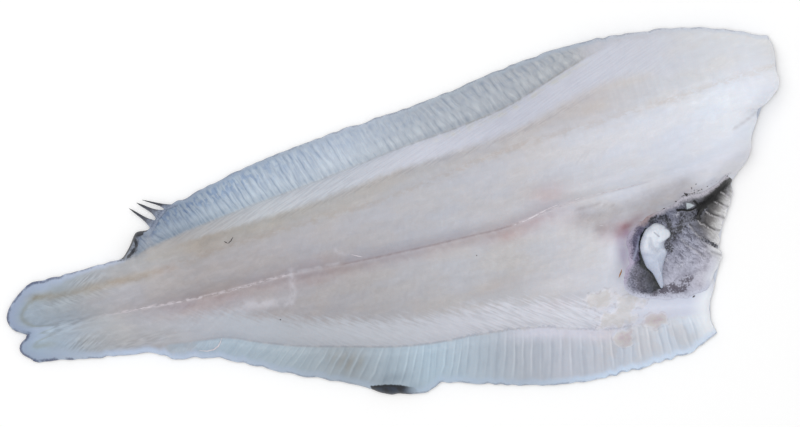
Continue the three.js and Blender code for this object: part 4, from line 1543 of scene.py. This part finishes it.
# %% Folds, pleats and patches of the lining
LINING_PATHS = {
    # Folds: grooves in the relief, painted black, partly dark pigment and partly painted shade.
    "fold": [
        ([(234, 0.2), (230.7, -1.2), (225.5, -3.8), (221.1, -6.4), (218.1, -8.6), (214.9, -11.3)], 2.6),
        ([(216, -10.6), (211.6, -12.6), (206.5, -14)], 3.4),
        ([(206.5, -14), (204.8, -11.4), (203.4, -9.4)], 1.3),
        ([(207, -13.4), (200.9, -15), (197.9, -15), (193.7, -13.4), (190.4, -12.8)], 0.9),
        ([(208.9, -14.4), (205.6, -17.4), (204.4, -20.5), (204.6, -22.6)], 1.6),
    ],
    "murk": [
        ([(172.6, -16), (176, -15.4), (181, -16.4)], 3),
        ([(197.4, -17.5), (200, -18.4), (204, -18), (209, -15)], 5.6),
        ([(200, -17.4), (195, -22), (190, -25)], 4.4), ([(189, -24.6), (185, -26.4), (182.4, -29.4)], 4),
        ([(181.4, -31.4), (179, -35), (180, -38)], 3), ([(180.6, -18.4), (183.6, -21), (184.4, -24.6)], 3.4),
        ([(204, -36.6), (208.6, -41), (213, -44.6)], 1.8),
    ],
    # The gap beside the lump: a shallow groove, painted black as the shadow in it.
    "gap": [
        ([(166.6, -21), (165.5, -22.1), (162.4, -25.3), (160.1, -30.4), (159.6, -36.4)], 0.9),
        ([(159.6, -36.4), (160, -40.4), (158.6, -44.4), (161.4, -47.3), (164.3, -51.9)], 2.1),
        ([(164.3, -51.9), (165.3, -56.9), (166.2, -62.3)], 1.9),
    ],
    "crescent": [([(161, -19.4), (157, -26), (155, -33), (154.4, -40)], 4)],
    "silver": [([(160.9, -25), (159, -29.7), (155.8, -36), (152.4, -41.3)], 0.8)],
}
PLEATS = [
    [(222.5, -6.6), (225.3, -9.3), (229.3, -13.6)],
    [(216, -11.4), (219.4, -14.7), (222.2, -17), (226.1, -20.2)],
    [(210, -15.5), (210.4, -18.8), (212.4, -21.1), (216.1, -23.6), (222, -27.1)],
    [(203, -21.9), (204.6, -26), (206.9, -27), (209.5, -30.1), (213, -33.4), (217.3, -34.8)],
    [(196.5, -24.6), (198.7, -29.7), (201, -34), (203.9, -36.4), (209.1, -43.1), (213.8, -46.3)],
    [(189.4, -33.5), (192.3, -38.8), (198.7, -45.7), (202, -49.9)],
    [(207.4, -47.6), (211, -50.2), (214.4, -51.6)],
]
PLEAT_SHADOW = (0.6, 0.9)
SPONGE_OUTLINE = np.array([
    (154.9, -43), (149, -46.4), (146, -51.8), (144.6, -56), (146.6, -60.5), (153.3, -65.6), (164, -67.6),
    (167, -63), (164, -51), (159.5, -44),
])
WHITE_FLAP = np.array([(197.2, -9), (200.4, -10), (203.2, -12.4), (200.3, -13.5), (197.3, -14)])
LINING_MARKS = {
    "dark": [(157, -43, 2.4, 2.6, 0.9), (162, -54, 3, 5, 0.8)],
    "brown": [
        (163, -66.6, 6, 2.4, 0.7), (172.6, -65.4, 6, 3.4, 1), (181, -66.8, 5, 3, 1),
        (187.5, -62.6, 4, 3.6, 0.9), (177, -61.4, 9, 3, 0.4),
    ],
    "pearl": [
        (189.6, -27, 3.6, 1.7, 0.8), (197, -61, 5, 3, 0.7), (175.5, -44, 3, 3, 0.6), (194, -9.6, 3, 1.6, 0.5),
        (184, -51, 7, 3, 0.5), (189.6, -15.6, 3.4, 2.6, 0.6),
    ],
}
PLEAT_HEIGHT = 1.2
PLEAT_WIDTH = 1.6
FOLD_DEPTH = 1.2
GAP_DEPTH = 0.9
CRESCENT_HEIGHT = 1.2

lining_fields = {name: drawn(paths, lining_x, lining_y) for name, paths in LINING_PATHS.items()}
lining_fields |= {name: spots(places, lining_x, lining_y) for name, places in LINING_MARKS.items()}
lining_fields |= {
    "ridge_off": np.min([distance_to(path, lining_x, lining_y) for path in PLEATS], 0),
    "shadow_off": np.min([distance_to(np.add(path, PLEAT_SHADOW), lining_x, lining_y) for path in PLEATS], 0),
    "pleated": ease(lining_x + 0.5 * lining_y, 177, 197),
    "fold_off": distance_to(LINING_PATHS["fold"][0][0], lining_x, lining_y),
    "cut_off": head_end(lining_y, True) - lining_x,
    "sponge": depth_inside(SPONGE_OUTLINE, lining_x, lining_y),
    "white_flap": depth_inside(WHITE_FLAP, lining_x, lining_y),
    "lining_rim": distance_to(lining_rim, lining_x, lining_y, closed=True),
}
pillow = PLEAT_HEIGHT * (1 - bell(lining_fields["shadow_off"], PLEAT_WIDTH)) * lining_fields["pleated"]
groove = FOLD_DEPTH * lining_fields["fold"] + GAP_DEPTH * lining_fields["gap"]
lining_relief = pillow - groove + CRESCENT_HEIGHT * lining_fields["crescent"]
print("fields on the lining:", len(lining_fields))

# %% [markdown]
# Wrinkles on the lining are finer than a pleat and have no pattern, so a small Geometry Nodes tree crumples
# the upper side with noise. Near the edge the lining thins out, where it grew into the flesh.

# %% A tree that crumples a membrane
def crumple_tree():
    graph, given = new_tree("membrane_wrinkles", {"Depth": 0.0, "Finish": None})
    x, y, _ = graph.place()
    wrinkle = graph.noise(graph.vector(x, y), 4.5, 5, 3.0)
    lift = (wrinkle - 0.5) * given["Depth"] * graph.field("loose")
    offset = graph.vector(0.0, 0.0, lift)
    moved = graph.node("GeometryNodeSetPosition", None, {"Geometry": given["Geometry"], "Offset": offset})
    return end_tree(graph, moved, given["Finish"])


wrinkles_tree = crumple_tree()
print("wrinkle tree nodes:", len(wrinkles_tree.nodes))

# %% [markdown]
# The finish goes from pale lilac on the floor to black in the folds. Each pleat is dark where it comes out of
# the fold and cream at the cut, and a fine net of dark veins covers the part between.

# %% Finish of the lining
FLOOR_TONES = {
    0: tone(238, 241, 248), 5: tone(212, 214, 226), 10: tone(188, 187, 201), 20: tone(178, 179, 196),
}
PANEL_TONES = {
    0: tone(230, 230, 232), 3.5: tone(208, 208, 210), 7: tone(174, 173, 174), 11: tone(124, 122, 124),
    16: tone(70, 68, 70), 24: tone(100, 101, 110),
}
SPONGE_TONES = {
    146: tone(144, 146, 165), 153: tone(112, 111, 128), 160: tone(72, 75, 89), 165: tone(44, 47, 54),
}


def lining_zones(graph, x, y, blot, fleck):
    """The lilac floor, the pleated panels, the bluish crescent and the spongy patch."""
    ragged = (fleck - 0.5) * 2.4 + (blot - 0.5) * 3.0
    cut, pleated = graph.field("cut_off"), graph.field("pleated")
    here = SimpleNamespace(x=x + blot * 4.0, y=y + blot * 4.0)
    streak = streaks(graph, here, -46.0, 7.0, 1.3, 24)
    net = abs(streaks(graph, here, -46.0, 9.0, 3.4, 23) - 0.5).ease(0.05, 0.0)
    net = net.most(abs(graph.noise(graph.vector(here.x, here.y), 4.4, 25, 2.0) - 0.5).ease(0.02, 0.0))
    inner = cut.ease(3.0, 12.0)
    floor = graph.ramp(cut + ragged, FLOOR_TONES)
    floor = graph.tint(y.ease(-54, -26) * inner, floor, (0.6, 0.62, 0.66))
    floor = graph.tint(x.ease(195, 182) * y.ease(-62, -44), floor, (0.84, 0.84, 0.86))
    drawn_out = inner * (0.3 + 0.7 * y.ease(-58, -36))
    floor = graph.tint(streak.ease(0.5, 0.36) * drawn_out, floor, (0.7, 0.7, 0.73))
    floor = graph.tint(streak.ease(0.52, 0.66) * drawn_out, floor, (1.2, 1.2, 1.19))
    floor = graph.tint(blot.ease(0.52, 0.36) * inner, floor, (0.8, 0.79, 0.81))
    floor = graph.tint(blot.ease(0.52, 0.66) * inner, floor, (1.1, 1.1, 1.1))
    floor = graph.tint(net * y.ease(-66, -40) * inner, floor, (0.45, 0.45, 0.48))
    panel = graph.ramp(cut + ragged, PANEL_TONES)
    panel = graph.tint(streak.ease(0.5, 0.34), panel, (0.78, 0.77, 0.76))
    panel = graph.tint(streak.ease(0.5, 0.68), panel, (1.16, 1.16, 1.15))
    # Painted shade on the pleats near the fold.
    panel = graph.tint((graph.field("fold_off") + ragged).ease(10.0, 2.0), panel, (0.18, 0.18, 0.19))
    colour = graph.mix(pleated, floor, panel)
    crescent = graph.mix(fleck.ease(0.36, 0.66), tone(116, 111, 138), tone(72, 69, 91))
    colour = graph.mix((graph.field("crescent") * 1.9 - blot * 0.6).ease(0.1, 0.8), colour, crescent)
    colour = graph.mix(graph.field("silver") * (fleck + 0.1), colour, tone(168, 176, 202))
    sponge = graph.tint(fleck.ease(0.46, 0.64), graph.ramp(x + ragged, SPONGE_TONES), (0.56, 0.55, 0.57))
    sponge = graph.tint(fleck.ease(0.46, 0.3), sponge, (1.3, 1.29, 1.28))
    sponge = graph.tint(blot.ease(0.48, 0.62), sponge, (0.66, 0.66, 0.68))
    return graph.mix((graph.field("sponge") + ragged).ease(-1.5, 3.0), colour, sponge), ragged


def lining_finish():
    material, graph = new_finish("belly_membrane")
    x, y, _ = graph.place()
    spot = graph.vector(x, y)
    blot = graph.noise(spot, 6.0, 21, 4.0, 0.6)
    fleck = graph.noise(spot, 1.3, 22, 3.0, 0.65)
    colour, ragged = lining_zones(graph, x, y, blot, fleck)
    cut, pleated = graph.field("cut_off"), graph.field("pleated")
    shadow = (graph.field("shadow_off") + ragged * 0.12).bell(0.9) * (0.5 + 0.45 * cut.ease(2.0, 12.0))
    colour = graph.mix(shadow * (0.3 + 0.7 * pleated), colour, tone(44, 42, 45))
    # Painted highlight along the top of each pleat.
    ridge_highlight = (graph.field("ridge_off") + ragged * 0.1).bell(0.6) * fleck.ease(0.3, 0.56)
    colour = graph.mix(ridge_highlight * (0.3 + 0.5 * pleated), colour, tone(206, 204, 207))
    rim = (graph.field("lining_rim") + ragged * 1.3).ease(4.6, 0.6) * cut.ease(2.0, 6.0)
    side = graph.mix(x.ease(166, 154), tone(196, 193, 204), tone(190, 181, 204))
    side = graph.mix((x - 168.0).bell(7.0), side, tone(176, 152, 153))
    around = graph.mix(y.ease(-48, -62), side, tone(202, 205, 222))
    colour = graph.mix(rim, colour, graph.tint(fleck.ease(0.56, 0.72), around, (0.62, 0.61, 0.64)))
    # The gap entry is painted shadow in the gap beside the lump of fat; the others are patches of colour.
    patches_and_gap_shadow = [
        ("pearl", 0.8, 0.8, tone(206, 207, 220)), ("brown", 1.0, 0.9, tone(78, 72, 86)),
        ("dark", 0.9, 0.92, tone(44, 45, 54)), ("gap", 0.5, 1.0, tone(24, 30, 35)),
    ]
    crumbs = fleck.ease(0.34, 0.66) * 0.6 + blot.ease(0.36, 0.64) * 0.6
    for name, broken, strength, shade in patches_and_gap_shadow:
        mask = (graph.field(name) * 1.4 - crumbs * broken).ease(0.0, 0.7)
        colour = graph.mix(mask * strength, colour, shade)
    murk = (graph.field("murk") * 1.5 - crumbs).ease(0.0, 0.7)
    deep = graph.mix(crumbs.ease(0.3, 0.9), tone(26, 27, 36), tone(104, 106, 120))
    colour = graph.mix(murk * 0.95, colour, deep)
    # The black along the folds is partly dark pigment of the lining and partly painted shade in the fold.
    fold = (graph.field("fold") * 1.4 - crumbs * 0.6).ease(0.0, 0.6)
    colour = graph.mix(fold, colour, tone(9, 9, 13))
    flap = (graph.field("white_flap") + ragged * 0.2).ease(-0.3, 0.6)
    colour = graph.mix(flap * 0.95, colour, graph.mix(blot, tone(206, 219, 226), tone(224, 231, 236)))
    wet_surface(graph, colour, fleck * 0.3 + 0.25, fleck + blot, 0.5, coat=0.25)
    return material


belly_membrane = lining_finish()
print("lining finish nodes:", len(belly_membrane.node_tree.nodes))

# %% Make the lining
LINING_THICKNESS = 0.8
LINING_GAP = 0.3
LINING_ROUND = (5, 0.1)
LINING_WRINKLE = 1.1
DEEPEST = -0.3


def lining_piece():
    from_rim = lining_fields["lining_rim"]
    under = flesh_top(lining_x, lining_y) + LINING_GAP
    relief = np.maximum(lining_relief * ease(from_rim, 0, 6), DEEPEST)
    top = under + LINING_THICKNESS * round_end(from_rim, *LINING_ROUND) + relief
    a, b, sides = ring_grid(*lining_x.shape)
    size = a.size
    middle = 2 * size
    points = np.concatenate([
        np.stack([lining_x, lining_y, top], -1).reshape(-1, 3),
        np.stack([lining_x, lining_y, under], -1).reshape(-1, 3),
        [(*LINING_MIDDLE, top[-1].mean()), (*LINING_MIDDLE, under[-1].mean())],
    ])
    faces = sides.tolist() + (sides[:, ::-1] + size).tolist() + wall_faces(a[0], a[0] + size)
    faces += [(p, q, middle) for p, q in zip(a[-1], b[-1])]
    faces += [(q + size, p + size, middle + 1) for p, q in zip(a[-1], b[-1])]
    obj = new_object("hollow_lining", points, faces)
    loose = np.concatenate([ease(from_rim, 0, 5).ravel(), np.zeros(size), [1, 0]])
    fields = {n: np.concatenate([v.ravel(), v.ravel(), [v[-1].mean()] * 2]) for n, v in lining_fields.items()}
    keep_fields(obj, fields | {"loose": loose})
    grow(obj, wrinkles_tree, {"Depth": LINING_WRINKLE * MM, "Finish": belly_membrane})
    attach(obj, "root")
    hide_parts("belly_lining")
    return obj


lining = lining_piece()
print("lining triangles:", triangles(lining))

# %% [markdown]
# ## The lump of fat
#
# A drop of soft white fat lies in the hollow, curled at its wide end. It is a dome over a listed outline,
# with a slow unevenness and a curled groove, because a plain dome would look like plastic.

# %% Shape of the lump
FAT_OUTLINE = [
    (173.4, -18.2), (169.6, -19.6), (165.5, -22.1), (161.2, -28.5), (159.6, -33.5), (159.8, -39.5),
    (161, -46.6), (164.2, -52), (166, -58), (167.8, -63.5), (170, -61.5), (170.7, -55), (172.6, -49),
    (175.4, -43.6), (177.6, -40), (176.6, -35.6), (178.2, -31.8), (182, -29.6), (182.6, -26.4),
    (180.4, -22.4), (177, -19.6),
]
FAT_MIDDLE = (169.5, -34)
FAT_RINGS = 40
FAT_SPOKES = 180
FAT_SHARE = 0.5
FAT_CORE = 0.015
FAT_SLIM = 0.45
FAT_WRINKLE = 1.4
CURL_WIDTH = 1.4
CURL_DEPTH = 0.7
FAT_FOLD = [(167.6, -28.2), (167.5, -32.1), (168.5, -35.4), (171, -37.7), (174.9, -36), (175.8, -34.1)]
FAT_MARKS = [([(171.5, -24.4), (174.2, -28)], 0.4), ([(180.2, -23.2), (181.6, -24)], 0.7)]


def fat_finish():
    material, graph = new_finish("soft_fat")
    x, y, _ = graph.place()
    spot = graph.vector(x, y)
    blot = graph.noise(spot, 5.0, 31, 4.0, 0.6)
    colour = graph.mix((y + (blot - 0.5) * 12.0).ease(-26, -44), tone(224, 230, 239), tone(192, 200, 218))
    colour = graph.tint(blot.ease(0.5, 0.3), colour, (0.9, 0.91, 0.93))
    # Painted shade in the curled groove of the lump.
    colour = graph.mix(graph.field("curl") * 0.45, colour, tone(178, 183, 196))
    colour = graph.mix(graph.field("fat_marks") * 0.7, colour, tone(120, 118, 136))
    wet_surface(graph, colour, blot * 0.2 + 0.22, blot, 0.5, 0.2, 0.3)
    return material


def fat_piece():
    low, high = (np.array(corner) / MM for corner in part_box("fat_lump"))
    rim = closed_curve(FAT_OUTLINE, FAT_SPOKES)
    share = np.sin(np.linspace(0, 1, FAT_RINGS) * math.pi / 2)[:, None]
    share = share[::-1] * (1 - FAT_CORE) + FAT_CORE
    x, y = shrunk(rim, FAT_MIDDLE, share)
    base = np.maximum(flesh_top(x, y), low[2])
    dome = np.maximum(1 - share ** 3, 0) ** 0.5 * np.ones_like(x)
    slim = ease(y, -68, -42) * (1 - FAT_SLIM) + FAT_SLIM
    curl = bell(distance_to(FAT_FOLD, x, y), CURL_WIDTH)
    top = base + (high[2] - low[2]) * FAT_SHARE * dome * slim - CURL_DEPTH * curl * dome
    a, _, sides = ring_grid(*x.shape)
    faces = sides.tolist() + [a[-1].tolist(), a[0][::-1].tolist()]
    obj = new_object("fat_drop", np.stack([x, y, top], -1).reshape(-1, 3), faces)
    keep_fields(obj, {"curl": curl * dome, "loose": dome, "fat_marks": drawn(FAT_MARKS, x, y)})
    grow(obj, wrinkles_tree, {"Depth": FAT_WRINKLE * MM, "Finish": fat_finish()})
    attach(obj, "root")
    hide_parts("fat_lump")
    return obj


fat_drop = fat_piece()
print("fat triangles:", triangles(fat_drop))

# %% [markdown]
# ## Threads and flecks
#
# Where the backbone was lifted off, threads of white membrane are left along the seam, and one loose curl
# lies near the tail. A few black flecks of the lining and one rusty one stick to the flesh. They are strands
# again: the threads wander about the seam, and the flecks are drawn one by one.

# %% Threads on the seam
THREAD_RUNS = [
    (-204, -178), (-172, -150), (-147, -128), (-127, -108), (-97, -84), (73, 108), (78, 96), (102, 134),
    (130, 158),
]
THREAD_STEP = 1.2
THREAD_SEED = 5
THREAD_GIRTH = 0.2
THREAD_LIFT = 0.1
THREAD_WANDER = 0.5
THREAD_ASIDE = (0.2, 0.4)
THREAD_UNEVEN = (0.3, 1.4)
GIRTH_KNOTS = 9
THREAD_TIP = 0.02
LOOSE_CURL = [(-156, -33.3), (-151, -35), (-146, -35), (-142.4, -33.4), (-140.3, -31), (-139, -28.5)]
BRIGHT_THREAD = [(75.6, 2.3), (83, 3.4), (89.9, 4.9), (96, 6.6), (102, 8.2), (110, 9.6)]
GREY_LINES = [
    [(126, -9.3), (131, -10), (136, -11.3), (143, -12.6)], [(128, 5.1), (134, 4.8), (140, 4)],
]
PALE_LINES = [
    [(117, 9.8), (126, 10.6), (140, 10.8), (158, 10.6), (176, 11)], [(-38, 8.5), (-34, 6.4), (-30, 4.6)],
]


def thread_finish(name, pale, dim):
    material, graph = new_finish(name)
    x, y, _ = graph.place()
    blot = graph.noise(graph.vector(x, y), 4.0, 41, 2.0)
    wet_surface(graph, graph.mix(blot.ease(0.3, 0.7), pale, dim), blot * 0.2 + 0.25, blot, 0.2)
    return material


def seam_threads():
    random = np.random.default_rng(THREAD_SEED)
    paths = []
    for start, finish in THREAD_RUNS:
        x = np.linspace(start, finish, int((finish - start) / THREAD_STEP))
        knots = np.linspace(start, finish, len(x) // 4 + 2)
        wander = np.interp(x, knots, random.normal(0, THREAD_WANDER, len(knots)))
        y = SEAM(x) + wander + random.normal(*THREAD_ASIDE)
        along = np.linspace(0, 1, len(x))
        ends = np.sin(np.pi * np.clip(along, THREAD_TIP, 1 - THREAD_TIP)) ** 0.5
        knots = np.linspace(start, finish, GIRTH_KNOTS)
        uneven = np.interp(x, knots, random.uniform(*THREAD_UNEVEN, GIRTH_KNOTS))
        paths.append(np.stack([x, y, flesh_top(x, y) + THREAD_LIFT, THREAD_GIRTH * ends * uneven, along], -1))
    paths.append(drawn_strand(LOOSE_CURL, girth=0.5, lift=0.5, count=30))
    paths.append(drawn_strand(BRIGHT_THREAD, girth=0.7, lift=0.2, count=40))
    paths += [drawn_strand(places, girth=0.36, lift=0.25, count=30) for places in PALE_LINES]
    finish = thread_finish("membrane_thread", tone(222, 217, 223), tone(200, 194, 201))
    return strand_piece("seam_threads", paths, finish)


threads = seam_threads()
grey_lines = strand_piece(
    "grey_lines",
    [drawn_strand(places, girth=0.3, lift=0.0, count=24) for places in GREY_LINES],
    thread_finish("grey_line", tone(206, 204, 208), tone(188, 185, 190)),
)
print("thread triangles:", triangles(threads) + triangles(grey_lines))

# %% Small flecks
DARK_FLECKS = [
    ([(-121.8, 37.1), (-119.5, 34.8)], 0.3), ([(-119.8, 34.6), (-117, 36.2), (-115, 38.6)], 0.35),
    ([(-96.3, -24.9), (-95.4, -25)], 0.4), ([(46.8, -12), (47.6, -12)], 0.35),
    ([(187.6, -74.6), (189.6, -73.8)], 0.6), ([(197.4, -2), (198.4, -3.8), (199.6, -6.2)], 0.5),
    ([(199.2, -3.4), (198.6, -4.6)], 0.4), ([(206.4, 1.4), (207, 2.4)], 0.3),
    ([(209.6, -2.2), (210.4, -3)], 0.35), ([(203, -1), (203.3, 0.6)], 0.3),
    ([(214, -1.8), (214.8, -1.2)], 0.3), ([(190, -6.4), (191.2, -6.8)], 0.35),
    ([(229, 2.2), (230.4, 2.6)], 0.5), ([(181, -9.8), (182.6, -9.4)], 0.4),
]
RUSTY_FLECK = [(140.2, -49.6), (141.4, -47.8), (142.9, -45.6), (143.4, -44.2)]
FLECK_LIFT = 0.15

black_flecks = strand_piece(
    "black_flecks",
    [drawn_strand(places, girth, FLECK_LIFT) for places, girth in DARK_FLECKS],
    thread_finish("black_fleck", tone(40, 38, 40), tone(66, 62, 62)),
)
rusty_fleck = strand_piece(
    "rusty_fleck",
    [drawn_strand(RUSTY_FLECK, girth=0.7, lift=FLECK_LIFT)],
    thread_finish("rusty_fleck", tone(176, 134, 96), tone(150, 104, 66)),
)
print("fleck triangles:", triangles(black_flecks) + triangles(rusty_fleck))

# %% [markdown]
# ## Floor, light and camera
#
# A wet, pale thing needs even light: a bright sky all round, a white floor with a faint glow of its own, and
# one large soft lamp from the upper left that gives the ribs their shade. The camera looks straight down from
# far away, turned so that the fillet lies slanted in the frame.

# %% Floor and light
FLOOR_HALF = 1500
FLOOR_DROP = 0.3
FLOOR_GLOW = 0.05
SKY_STRENGTH = 0.7
LAMP_SIZE = 1.6
LAMP_POWER = 14
LAMP_PLACE = (-0.25, 0.45, 1.9)


def studio_floor():
    corners = [(-1, -1), (1, -1), (1, 1), (-1, 1)]
    points = np.array([(x * FLOOR_HALF, y * FLOOR_HALF, -FLOOR_DROP) for x, y in corners])
    obj = new_object("studio_floor", points, [(0, 1, 2, 3)])
    material, graph = new_finish("pale_floor")
    white = tone(253, 253, 253)
    sockets = {
        "Base Color": white, "Roughness": 0.9, "Emission Color": white, "Emission Strength": FLOOR_GLOW,
    }
    shader = graph.node("ShaderNodeBsdfPrincipled", None, sockets)
    graph.node("ShaderNodeOutputMaterial", None, {"Surface": shader})
    obj.data.materials.append(material)
    return obj


def studio_light():
    world = bpy.data.worlds.new("soft_sky")
    bpy.context.scene.world = world
    world.use_nodes = True
    graph = Graph(world.node_tree)
    sky = graph.node("ShaderNodeBackground", None, {"Color": (1.0, 1.0, 1.0, 1.0), "Strength": SKY_STRENGTH})
    graph.node("ShaderNodeOutputWorld", None, {"Surface": sky})
    lamp = bpy.data.lights.new("softbox", "AREA")
    lamp.shape = "RECTANGLE"
    lamp.size = LAMP_SIZE
    lamp.size_y = LAMP_SIZE
    lamp.energy = LAMP_POWER
    obj = bpy.data.objects.new("softbox", lamp)
    obj.location = LAMP_PLACE
    obj.rotation_euler = (-obj.location).to_track_quat("-Z", "Y").to_euler()
    bpy.context.scene.collection.objects.link(obj)


floor = studio_floor()
studio_light()
bpy.context.scene.view_settings.view_transform = "Standard"
print("floor and light ready")

# %% Camera
VIEW_TURN = 13
VIEW_MIDDLE = (1.9, 28.3)
VIEW_WIDTH = 560
CAMERA_HEIGHT = 3000


def photo_camera():
    data = bpy.data.cameras.new("camera")
    data.sensor_width = 36
    data.lens = data.sensor_width * CAMERA_HEIGHT / VIEW_WIDTH
    data.clip_end = 20
    obj = bpy.data.objects.new("camera", data)
    obj.location = ((np.array([*VIEW_MIDDLE, CAMERA_HEIGHT]) + SHIFT) * MM).tolist()
    obj.rotation_euler = (0, 0, -math.radians(VIEW_TURN))
    bpy.context.scene.collection.objects.link(obj)
    bpy.context.scene.camera = obj
    return obj


camera = photo_camera()
print("lens, mm:", round(camera.data.lens, 1))
